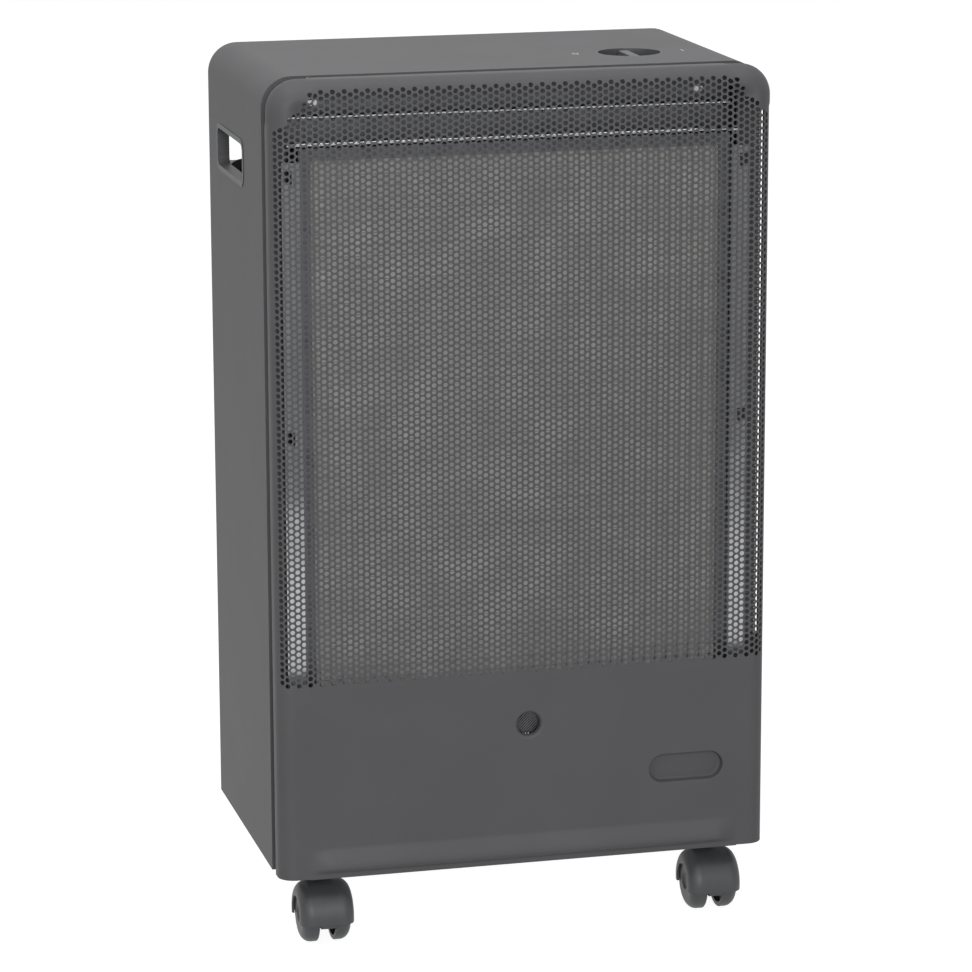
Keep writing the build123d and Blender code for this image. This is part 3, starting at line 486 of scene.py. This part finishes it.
def ridgeShape(x, z):
    # the pressed ridge along the bottom: steep below, easing out above
    low, high, half = fascia["ridgeLow"], fascia["ridgeHigh"], fascia["ridgeHalf"]
    if not low < z < high or abs(x) > half:
        return 0.0
    t = (z - low) / (high - low)
    crest = fascia["ridgeCrest"]
    below = math.sin(min(t / crest, 1) * math.pi / 2)
    above = math.cos(max(t - crest, 0) / (1 - crest) * math.pi / 2) ** fascia["ridgeEase"]
    end = min((half - abs(x)) / fascia["ridgeEnd"], 1)
    return fascia["ridgeHeight"] * below * above * eased(end)


class Sheet:
    # a surface of outer points with normals, later given its thickness
    def __init__(self):
        self.points = []
        self.normals = []
        self.faces = []
        self.known = {}

    def point(self, key, place, normal):
        # a point with a key is made once and shared
        if key is not None and key in self.known:
            return self.known[key]
        self.points.append(place)
        self.normals.append(normal)
        if key is not None:
            self.known[key] = len(self.points) - 1
        return len(self.points) - 1

    def thicken(self, name, thickness):
        outer = np.array(self.points, float)
        normal = np.array(self.normals, float)
        normal /= np.linalg.norm(normal, axis=1)[:, None]
        count = len(outer)
        seen = {}
        for face in self.faces:
            for i, j in zip(face, face[1:] + face[:1]):
                seen[(i, j)] = True
        rims = [(i, j) for i, j in seen if (j, i) not in seen]
        faces = list(self.faces)
        faces += [tuple(i + count for i in reversed(face)) for face in self.faces]
        faces += [(j, i, i + count, j + count) for i, j in rims]
        allPoints = np.vstack([outer, outer - normal * thickness]) * mm
        mesh = bpy.data.meshes.new(name)
        mesh.from_pydata(allPoints.tolist(), [], faces)
        mesh.shade_smooth()
        # the sheet's own normals inside and out, flat ones on its cut edges
        corners = []
        for face in self.faces:
            corners += [tuple(normal[i]) for i in face]
        for face in self.faces:
            corners += [tuple(-normal[i]) for i in reversed(face)]
        for polygon in mesh.polygons[2 * len(self.faces):]:
            corners += [tuple(polygon.normal)] * len(polygon.vertices)
        mesh.normals_split_custom_set(corners)
        return mesh


def surfacePoint(u, v):
    # u across and v up along the sheet, mm; v counts from the cabinet's bottom
    side = 1 if u >= 0 else -1
    du, dv = abs(u) - cornerX, v - cornerZ
    if dv > 0:
        out, back, nOut, nFront = edgeProfile(dv, 1.0, pressedShare(max(-du, 0)))
        x, y, z = u, back, cornerZ + out
        normal = (0, -nFront, nOut)
    elif du > 0:
        out, back, nOut, nFront = edgeProfile(du, 0.0, pressedShare(max(-dv, 0)))
        x, y, z = side * (cornerX + out), back, v
        normal = (side * nOut, -nFront, 0)
    else:
        x, y, z = u, -ridgeShape(u, v), v
        step = 0.2
        slopeZ = (ridgeShape(u, v + step) - ridgeShape(u, v - step)) / (2 * step)
        slopeX = (ridgeShape(u + step, v) - ridgeShape(u - step, v)) / (2 * step)
        normal = (-slopeX, -1.0, -slopeZ)
    return (x, cabinet["front"] + y, cabinet["bottom"] + z), normal


def arcLines(start, up):
    # profile lines from start to the end of the profile
    whole = profileLength(up)
    lines = [start]
    while lines[-1] < whole - fascia["arcStep"]:
        lines.append(lines[-1] + fascia["arcStep"])
    lines[-1] = whole
    return lines


def fasciaLines():
    # the grid that the sheet is drawn on; each hole takes two cells each way
    pitch = 2 * cornerX / fascia["columns"]
    wrap = [0.5 * pitch * i for i in range(1, 2 * fascia["wrappedColumns"] + 1)]
    outside = wrap + arcLines(wrap[-1], 0.0)[1:]
    middle = [-cornerX + 0.5 * pitch * i for i in range(2 * fascia["columns"] + 1)]
    left = [-(cornerX + s) for s in reversed(outside)]
    across = left + middle + [cornerX + s for s in outside]
    half = fascia["rowPitch"] / 2
    rows = round((cornerZ - fascia["fieldBottom"]) / half)
    field = [cornerZ - half * i for i in range(rows, -1, -1)]
    low = list(fascia["ridgeLines"])
    start, steps = low[-1], fascia["plainRows"]
    low += [start + (field[0] - start) * i / steps for i in range(1, steps)]
    topWrap = [half * i for i in range(1, fascia["wrappedHalfRows"] + 1)]
    over = topWrap + arcLines(topWrap[-1], 1.0)[1:]
    upward = low + field + [cornerZ + s for s in over]
    return across, upward, len(low), outside, over


def isHole(u, v):
    # everywhere in the field but on the pressed corners
    du, dv = abs(u) - cornerX, v - cornerZ
    return not (du > -fascia["cornerMargin"] and du + dv > fascia["cornerClear"])


def inSlot(u, v):
    # the long openings in the turned edge, which daylight shows through
    du, dv = abs(u) - cornerX, v - cornerZ
    if du > fascia["slotAcross"]:
        return fascia["slotLow"] < v < fascia["slotHigh"]
    return dv > fascia["slotAcross"] and abs(u) < fascia["slotHalf"]


# Pressed features of the plain area, each a set of loops: distance in from the outline
# and depth behind the front, mm.
pressings = {
    "sightHole": {
        "x": 3.0, "z": 121.0, "length": 25.0, "height": 25.0,
        "loops": [(0.0, 0.0), (0.8, 0.2), (1.6, 0.8), (2.2, 1.7), (2.6, 3.0), (2.7, 5.5)],
        "open": True,
    },
    "pillRecess": {
        "x": 140.0, "z": 73.5, "length": 66.0, "height": 26.0,
        "loops": [
            (0.0, 0.0), (0.4, 0.15), (0.8, 0.9), (1.0, 2.2), (1.2, 5.4), (1.6, 6.6),
            (2.6, 7.0), (4.2, 7.0),
        ],
        "open": False,
    },
}


def stadium(length, height, inset, count=56):
    radius = height / 2 - inset
    straight = (length - height) / 2
    points = []
    for i in range(count):
        a = 2 * math.pi * (i + 0.5) / count
        shift = straight if math.cos(a) > 0 else -straight
        points.append((shift + radius * math.cos(a), radius * math.sin(a)))
    return points


def ordered(points, face, index):
    # anticlockwise seen from the front, where x runs right and z runs up
    area = 0.0
    for i, j in zip(face, list(face[1:]) + [face[0]]):
        area += points[i][0] * points[j][1] - points[j][0] * points[i][1]
    run = face if area > 0 else list(reversed(face))
    return tuple(index[i] for i in run)


def addPressing(sheet, spec, rim):
    # rim is the loop of grid points around the pressing, as (index, x, z), anticlockwise
    length, height, profile = spec["length"], spec["height"], spec["loops"]
    straight = (length - height) / 2
    leastFront = 0.02  # no wall is drawn quite square to the front
    loops = []
    for k, (inset, depth) in enumerate(profile):
        before, after = profile[max(k - 1, 0)], profile[min(k + 1, len(profile) - 1)]
        run = math.hypot(after[0] - before[0], after[1] - before[1]) or 1.0
        slope = (after[1] - before[1]) / run if k else 0.0
        front = max(math.sqrt(max(1 - slope * slope, 0)), leastFront)
        ring = []
        for x, z in stadium(length, height, inset):
            nx = x - (math.copysign(straight, x) if straight > 0 else 0.0)
            size = math.hypot(nx, z) or 1.0
            # a wall that goes back as it goes in faces the middle
            normal = (-nx / size * slope, -front, -z / size * slope)
            place = (
                spec["x"] + x, cabinet["front"] + depth, cabinet["bottom"] + (spec["z"] + z),
            )
            ring.append(sheet.point(None, place, normal))
        loops.append(ring)
    outer = [(x, z) for _, x, z in rim]
    inner = [(spec["x"] + x, spec["z"] + z) for x, z in stadium(length, height, 0.0)]
    n, m = len(outer), len(inner)
    edges = [(i, (i + 1) % n) for i in range(n)]
    edges += [(n + i, n + (i + 1) % m) for i in range(m)]
    made = delaunay_2d_cdt([Vector(p) for p in outer + inner], edges, [], 1, tiny)
    index = [i for i, _, _ in rim] + loops[0]
    for face in made[2]:
        if any(i < n for i in face):
            sheet.faces.append(ordered(made[0], face, index))
    for ringA, ringB in zip(loops, loops[1:]):
        for i in range(m):
            j = (i + 1) % m
            sheet.faces.append((ringA[i], ringA[j], ringB[j], ringB[i]))
    if not spec["open"]:
        sheet.faces.append(tuple(loops[-1]))


def cellsAround(spec, across, upward):
    # the grid lines just outside a pressing: two across, two upwards
    reachX = spec["length"] / 2 + fascia["pressingReach"]
    reachZ = spec["height"] / 2 + fascia["pressingReach"]
    a0 = max(i for i, u in enumerate(across) if u < spec["x"] - reachX)
    a1 = min(i for i, u in enumerate(across) if u > spec["x"] + reachX)
    b0 = max(i for i, v in enumerate(upward) if v < spec["z"] - reachZ)
    b1 = min(i for i, v in enumerate(upward) if v > spec["z"] + reachZ)
    return a0, a1, b0, b1


def punchHoles(sheet, grid, across, upward, fieldStart):
    # staggered holes, drawn with eight sides; gives back the cells they take
    firstColumn = across.index(-cornerX) - 2 * fascia["wrappedColumns"]
    columns = fascia["columns"] + 2 * fascia["wrappedColumns"]
    fieldRows = round((cornerZ - upward[fieldStart]) / (fascia["rowPitch"] / 2))
    topRow = fieldStart + fieldRows + fascia["wrappedHalfRows"]
    around = [(0, 0), (1, 0), (2, 0), (2, 1), (2, 2), (1, 2), (0, 2), (0, 1)]
    radius = fascia["holeRadius"]
    taken = set()
    for c in range(columns):
        a = firstColumn + 2 * c
        for b in range(fieldStart + (c + 1) % 2, topRow - 1, 2):
            u, v = across[a + 1], upward[b + 1]
            if not isHole(u, v):
                continue
            outer = [grid(a + i, b + j) for i, j in around]
            inner = []
            for i, j in around:
                angle = math.atan2(j - 1, i - 1)
                place, normal = surfacePoint(
                    u + radius * math.cos(angle), v + radius * math.sin(angle),
                )
                inner.append(sheet.point(None, place, normal))
            for i in range(len(around)):
                j = (i + 1) % len(around)
                sheet.faces.append((outer[i], outer[j], inner[j], inner[i]))
            taken.update((a + i, b + j) for i in (0, 1) for j in (0, 1))
    print("holes in the fascia:", len(taken) // 4)
    return taken


def fillSheet(sheet, grid, across, upward, taken, cut):
    # every cell that no hole, slot, corner or pressing takes
    for a in range(len(across) - 1):
        for b in range(len(upward) - 1):
            if (a, b) in taken:
                continue
            u, v = (across[a] + across[a + 1]) / 2, (upward[b] + upward[b + 1]) / 2
            if (abs(u) > cornerX and v > cornerZ) or inSlot(u, v):
                continue
            if any(a0 <= a < a1 and b0 <= b < b1 for a0, a1, b0, b1 in cut.values()):
                continue
            cell = (grid(a, b), grid(a + 1, b), grid(a + 1, b + 1), grid(a, b + 1))
            sheet.faces.append(cell)


def stitch(sheet, lower, upper):
    # joins two runs of (index, parameter) with triangles, lower on the left of upper
    i = j = 0
    while i < len(lower) - 1 or j < len(upper) - 1:
        upperDone = j == len(upper) - 1
        if i < len(lower) - 1 and (upperDone or lower[i + 1][1] <= upper[j + 1][1]):
            sheet.faces.append((lower[i][0], lower[i + 1][0], upper[j][0]))
            i += 1
        else:
            sheet.faces.append((lower[i][0], upper[j + 1][0], upper[j][0]))
            j += 1


def addCorners(sheet, grid, across, upward, outside, over):
    # each pressed corner is swept from the side's edge up to the top's
    cornerRow = [i for i, v in enumerate(upward) if abs(v - cornerZ) < tiny][0]
    lines = [0.0] + outside
    turns = fascia["cornerTurns"]
    for side in (-1, 1):
        base = across.index(side * cornerX)
        rows = [[grid(base + side * i, cornerRow) for i in range(len(lines))]]
        for k in range(1, turns):
            up = k / turns
            phi = math.pi / 2 * k / turns
            row = [rows[0][0]]
            for s in lines[1:]:
                at = s / lines[-1] * profileLength(up)
                out, back, nOut, nFront = edgeProfile(at, up, 1.0)
                place = (
                    side * (cornerX + out * math.cos(phi)),
                    cabinet["front"] + back,
                    cabinet["bottom"] + cornerZ + out * math.sin(phi),
                )
                normal = (side * nOut * math.cos(phi), -nFront, nOut * math.sin(phi))
                row.append(sheet.point(None, place, normal))
            rows.append(row)
        first = len(sheet.faces)
        for rowA, rowB in zip(rows, rows[1:]):
            sheet.faces.append((rowA[0], rowA[1], rowB[1]))
            for i in range(1, len(lines) - 1):
                sheet.faces.append((rowA[i], rowA[i + 1], rowB[i + 1], rowB[i]))
        last = [(rows[-1][i], s / lines[-1]) for i, s in enumerate(lines)]
        top = [(grid(base, cornerRow + i), s / over[-1]) for i, s in enumerate([0.0] + over)]
        stitch(sheet, last[1:], top[1:])
        sheet.faces.append((top[0][0], last[1][0], top[1][0]))
        if side < 0:
            sheet.faces[first:] = [tuple(reversed(face)) for face in sheet.faces[first:]]


def foldBottom(sheet, grid, across, bend):
    # the bottom edge turned back: a quarter round of radius bend, then flat
    columns = [a for a, u in enumerate(across) if abs(u) <= cornerX + tiny]
    previous = [grid(a, 0) for a in columns]
    bends = []
    for k in range(1, fascia["bottomBends"] + 1):
        t = math.pi / 2 * k / fascia["bottomBends"]
        bends.append((bend * (1 - math.cos(t)), bend * math.sin(t), math.cos(t), math.sin(t)))
    bends.append((fascia["bottomFold"], bend, 0.0, 1.0))
    for back, drop, nFront, nDown in bends:
        row = []
        for a in columns:
            place = (across[a], cabinet["front"] + back, cabinet["bottom"] + bend - drop)
            row.append(sheet.point(None, place, (0, -nFront, -nDown)))
        for i in range(len(row) - 1):
            sheet.faces.append((row[i], row[i + 1], previous[i + 1], previous[i]))
        previous = row


def makeFascia():
    sheet = Sheet()
    across, upward, fieldStart, outside, over = fasciaLines()

    def grid(a, b):
        place, normal = surfacePoint(across[a], upward[b])
        return sheet.point((a, b), place, normal)

    cut = {name: cellsAround(spec, across, upward) for name, spec in pressings.items()}
    taken = punchHoles(sheet, grid, across, upward, fieldStart)
    fillSheet(sheet, grid, across, upward, taken, cut)
    for name, (a0, a1, b0, b1) in cut.items():
        path = [(a, b0) for a in range(a0, a1)] + [(a1, b) for b in range(b0, b1)]
        path += [(a, b1) for a in range(a1, a0, -1)] + [(a0, b) for b in range(b1, b0, -1)]
        rim = [(grid(a, b), across[a], upward[b]) for a, b in path]
        addPressing(sheet, pressings[name], rim)
    addCorners(sheet, grid, across, upward, outside, over)
    foldBottom(sheet, grid, across, upward[0])
    return sheet.thicken("frontFascia", cabinet["sheet"])


def addPiece(name, mesh, body, slotName, nodes=(), smoothAngle=0):
    # a mesh without a material of its own takes its slot's
    obj = bpy.data.objects.new(name, mesh)
    bpy.context.scene.collection.objects.link(obj)
    if not mesh.materials:
        mesh.materials.append(finish[slotName])
    if smoothAngle:
        mesh.shade_smooth()
        mesh.set_sharp_from_angle(angle=math.radians(smoothAngle))
    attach(obj, body)
    if nodes:
        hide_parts(*nodes)
    return obj


fasciaPiece = addPiece("frontFascia", makeFascia(), "cabinet", "powder_coat", ["front_fascia"])
print("fascia made", len(fasciaPiece.data.polygons))


# The wire mesh over the pad.
wireMesh = {
    "pitch": 9.5,
    "wire": 0.9,  # across
    "halfWidth": 178.0,
    "low": 205.6,
    "high": 666.4,
    "front": -166.1,
    "sides": 6,  # of each wire
    "layer": 1.6,  # wire radii from the upright wires back to the level ones
    "smoothAngle": 35,  # degrees, sharper edges stay sharp
}


def addWire(points, faces, start, end, radius):
    direction = (Vector(end) - Vector(start)).normalized()
    side = direction.cross(Vector((0, 1, 0))).normalized()
    other = direction.cross(side)
    base = len(points)
    n = wireMesh["sides"]
    for p in (start, end):
        for i in range(n):
            a = 2 * math.pi * i / n
            offset = radius * (math.cos(a) * side + math.sin(a) * other)
            points.append(tuple((Vector(p) + offset) * mm))
    for i in range(n):
        j = (i + 1) % n
        faces.append((base + i, base + j, base + n + j, base + n + i))
    faces.append(tuple(base + i for i in reversed(range(n))))
    faces.append(tuple(base + n + i for i in range(n)))


def makeWireMesh():
    points, faces = [], []
    radius = wireMesh["wire"] / 2
    half, low, high = wireMesh["halfWidth"], wireMesh["low"], wireMesh["high"]
    y = wireMesh["front"] + radius
    count = int(2 * half / wireMesh["pitch"])
    for i in range(count + 1):
        x = -half + 2 * half * i / count
        addWire(points, faces, (x, y, low), (x, y, high), radius)
    y += wireMesh["layer"] * radius
    count = int((high - low) / wireMesh["pitch"])
    for i in range(count + 1):
        z = low + (high - low) * i / count
        addWire(points, faces, (-half, y, z), (half, y, z), radius)
    mesh = bpy.data.meshes.new("padWireMesh")
    mesh.from_pydata(points, [], faces)
    return mesh


addPiece(
    "padWireMesh", makeWireMesh(), "cabinet", "stainless_mesh", ["pad_mesh"],
    wireMesh["smoothAngle"],
)

# The gauze behind the sight hole, which keeps fingers from the pilot flame.
sightGauze = {
    "radius": 14.5,
    "pitch": 1.7,
    "wire": 1.1,  # across
    "depth": 7.6,  # behind the front
    "layers": ((45, 0.0), (135, 1.6)),  # degrees, and wire radii further back
}


def makeSightGauze():
    points, faces = [], []
    hole = pressings["sightHole"]
    radius, wire = sightGauze["radius"], sightGauze["wire"] / 2
    count = int(radius / sightGauze["pitch"])
    for degrees, layer in sightGauze["layers"]:
        turn = math.radians(degrees)
        along = Vector((math.cos(turn), 0, math.sin(turn)))
        beside = Vector((-math.sin(turn), 0, math.cos(turn)))
        y = cabinet["front"] + sightGauze["depth"] + layer * wire
        middle = Vector((hole["x"], y, cabinet["bottom"] + hole["z"]))
        for i in range(-count, count + 1):
            off = i * sightGauze["pitch"]
            reach = math.sqrt(radius ** 2 - off ** 2) * along
            centre = middle + off * beside
            addWire(points, faces, centre - reach, centre + reach, wire)
    mesh = bpy.data.meshes.new("sightGauze")
    mesh.from_pydata(points, [], faces)
    # the gauze takes the dark copy of the zinc, painted shade
    mesh.materials.append(shadedZinc)
    return mesh


addPiece(
    "sightGauze", makeSightGauze(), "cabinet", "zinc_steel", (), wireMesh["smoothAngle"],
)
print("wire mesh made")


# The deflector over the pad: two shelves on one back, each with a rolled hem.
deflector = {
    "sheet": 0.8,
    "step": (13.0, 21.0),  # the upper shelf stands this far behind and above the lower
    "behindBurner": 1.3,  # the back's place, from the burner housing's back
    "hem": 1.8,  # radius of the rolled edges
    "hemSheet": 0.5,
    "hemArc": 10,  # steps round a hem
    "hemTurn": 0.75,  # half turns each way from straight forward
}


def makeDeflector():
    low, high = [[c / mm for c in corner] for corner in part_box("top_deflector")]
    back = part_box("burner_housing")[1][1] / mm + deflector["behindBurner"]
    hem, sheet, arc = deflector["hem"], deflector["sheet"], deflector["hemArc"]
    stepBack, stepUp = deflector["step"]
    shelves, hems = Sheet(), Sheet()

    def strip(surface, run):
        # run is a list of (y, z, normal y, normal z), drawn out across the heater
        rows = []
        for y, z, ny, nz in run:
            rows.append([surface.point(None, (x, y, z), (0, ny, nz)) for x in (low[0], high[0])])
        for a, b in zip(rows, rows[1:]):
            surface.faces.append((a[0], a[1], b[1], b[0]))

    lower = low[1] + hem, low[2]
    upper = low[1] + hem + stepBack, low[2] + stepUp
    for front, z in (lower, upper):
        strip(shelves, [(front, z + sheet, 0, 1), (back, z + sheet, 0, 1)])
        roll = []
        for i in range(arc + 1):
            t = math.pi * deflector["hemTurn"] * (2 * i / arc - 1)
            out, up = math.cos(t), math.sin(t)
            roll.append((front - hem * out, z + hem + hem * up, -out, up))
        strip(hems, roll)
    strip(shelves, [(back, low[2], -1, 0), (back, high[2], -1, 0)])
    # one aluminium part: the shelves take the dark copy, painted shade, and the hems the bright
    # copy, painted highlight
    shelfMesh = shelves.thicken("deflectorShelves", sheet)
    shelfMesh.materials.append(shadedZinc)
    hemMesh = hems.thicken("deflectorHems", deflector["hemSheet"])
    hemMesh.materials.append(highlightAluminium)
    return shelfMesh, hemMesh


shelfMesh, hemMesh = makeDeflector()
addPiece("deflectorShelves", shelfMesh, "cabinet", "bright_aluminium", ["top_deflector"])
addPiece("deflectorHems", hemMesh, "cabinet", "bright_aluminium")
print("deflector made")


# The numbers printed on the top beside the dial: off on its left, high on its right.
dialMarks = {
    "text": ("0", "1"),
    "height": 9.0,
    "sizePerHeight": 1.4,  # of the font, whose figures don't fill its size
    "gap": 12.0,  # from the bowl's rim to a number's middle
    "thick": 0.06,
    "curveSteps": 4,
}


def makeDialMark(name, text, place):
    curve = bpy.data.curves.new(name, "FONT")
    curve.body = text
    curve.size = dialMarks["height"] * mm * dialMarks["sizePerHeight"]
    curve.extrude = dialMarks["thick"] * mm / 2
    curve.align_x = "CENTER"
    curve.align_y = "CENTER"
    curve.resolution_u = dialMarks["curveSteps"]
    shape = bpy.data.objects.new(name + "Shape", curve)
    mesh = bpy.data.meshes.new_from_object(shape)
    bpy.data.objects.remove(shape)
    mesh.transform(Matrix.Translation(place))
    mesh.name = name
    mesh.materials.clear()
    mesh.materials.append(ink)
    return mesh


def addDialMarks():
    low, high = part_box("dial_bowl")
    y = (low[1] + high[1]) / 2
    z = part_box("cabinet_shell")[1][2] + dialMarks["thick"] * mm
    reach = (high[0] - low[0]) / 2 + dialMarks["gap"] * mm
    for side, text in zip((-1, 1), dialMarks["text"]):
        name = "dialMark" + text
        mesh = makeDialMark(name, text, ((low[0] + high[0]) / 2 + side * reach, y, z))
        addPiece(name, mesh, "cabinet", "powder_coat")


addDialMarks()
print("dial marks made")


# The white studio round the heater.
studio = {
    "floorTint": "#9C9C9C",
    "floorGlow": 0.9,  # what the camera sees of the floor besides its own shade
    "floorRoughness": 0.9,
    "floorHalf": 6.0,  # metres
    "worldStrength": 0.2,
    "aim": (0, 0, 0.4),  # metres, where the lamps point
}
# Square lamps: edge and place in metres, power in watts. The left one stands in front too.
softboxes = {
    "top": {"size": 3.0, "power": 48.0, "place": (-0.4, -0.4, 3.2)},
    "left": {"size": 1.2, "power": 15.0, "place": (-2.7, -3.0, 1.5)},
    "front": {"size": 1.6, "power": 66.0, "place": (-0.6, -4.0, 1.5)},
}
white = (1, 1, 1, 1)


def seenDirectly(tree):
    # 1 for what the camera sees, straight or in a reflection or through glass
    path = addNode(tree, "ShaderNodeLightPath")
    larger = {"operation": "MAXIMUM"}
    rays = {0: path.outputs["Is Camera Ray"], 1: path.outputs["Is Transmission Ray"]}
    straight = addNode(tree, "ShaderNodeMath", larger, rays, 0)
    rays = {0: straight, 1: path.outputs["Is Glossy Ray"]}
    return addNode(tree, "ShaderNodeMath", larger, rays, 0)


def makeWorld():
    # the camera sees white, and the heater is lit by a dimmer one
    world = bpy.data.worlds.new("studio")
    bpy.context.scene.world = world
    world.use_nodes = True
    tree = world.node_tree
    tree.nodes.clear()
    dim = {"Color": white, "Strength": studio["worldStrength"]}
    lit = addNode(tree, "ShaderNodeBackground", None, dim, 0)
    bright = {"Color": white, "Strength": 1.0}
    shown = addNode(tree, "ShaderNodeBackground", None, bright, 0)
    either = {0: seenDirectly(tree), 1: lit, 2: shown}
    mixed = addNode(tree, "ShaderNodeMixShader", None, either, 0)
    addNode(tree, "ShaderNodeOutputWorld", None, {"Surface": mixed})


def makeSoftbox(name, spec):
    data = bpy.data.lights.new(name + "Softbox", "AREA")
    data.shape = "SQUARE"
    data.size = spec["size"]
    data.energy = spec["power"]
    obj = bpy.data.objects.new(name + "Softbox", data)
    place = Vector(spec["place"])
    turn = (Vector(studio["aim"]) - place).to_track_quat("-Z", "Y").to_matrix().to_4x4()
    obj.matrix_world = Matrix.Translation(place) @ turn
    bpy.context.scene.collection.objects.link(obj)


def makeFloor():
    bm = bmesh.new()
    bmesh.ops.create_grid(bm, x_segments=2, y_segments=2, size=studio["floorHalf"])
    mesh = bpy.data.meshes.new("floor")
    bm.to_mesh(mesh)
    bm.free()
    obj = bpy.data.objects.new("floor", mesh)
    bpy.context.scene.collection.objects.link(obj)
    material = bpy.data.materials.new("paleFloor")
    material.use_nodes = True
    tree = material.node_tree
    shader = tree.nodes["Principled BSDF"]
    shader.inputs["Base Color"].default_value = linear(studio["floorTint"])
    shader.inputs["Roughness"].default_value = studio["floorRoughness"]
    shader.inputs["Emission Color"].default_value = white
    glow = {0: seenDirectly(tree), 1: studio["floorGlow"]}
    shine = addNode(tree, "ShaderNodeMath", {"operation": "MULTIPLY"}, glow, 0)
    tree.links.new(shine, shader.inputs["Emission Strength"])
    mesh.materials.append(material)


makeWorld()
for name, spec in softboxes.items():
    makeSoftbox(name, spec)
makeFloor()
bpy.context.scene.view_settings.view_transform = "Standard"
print("studio made")
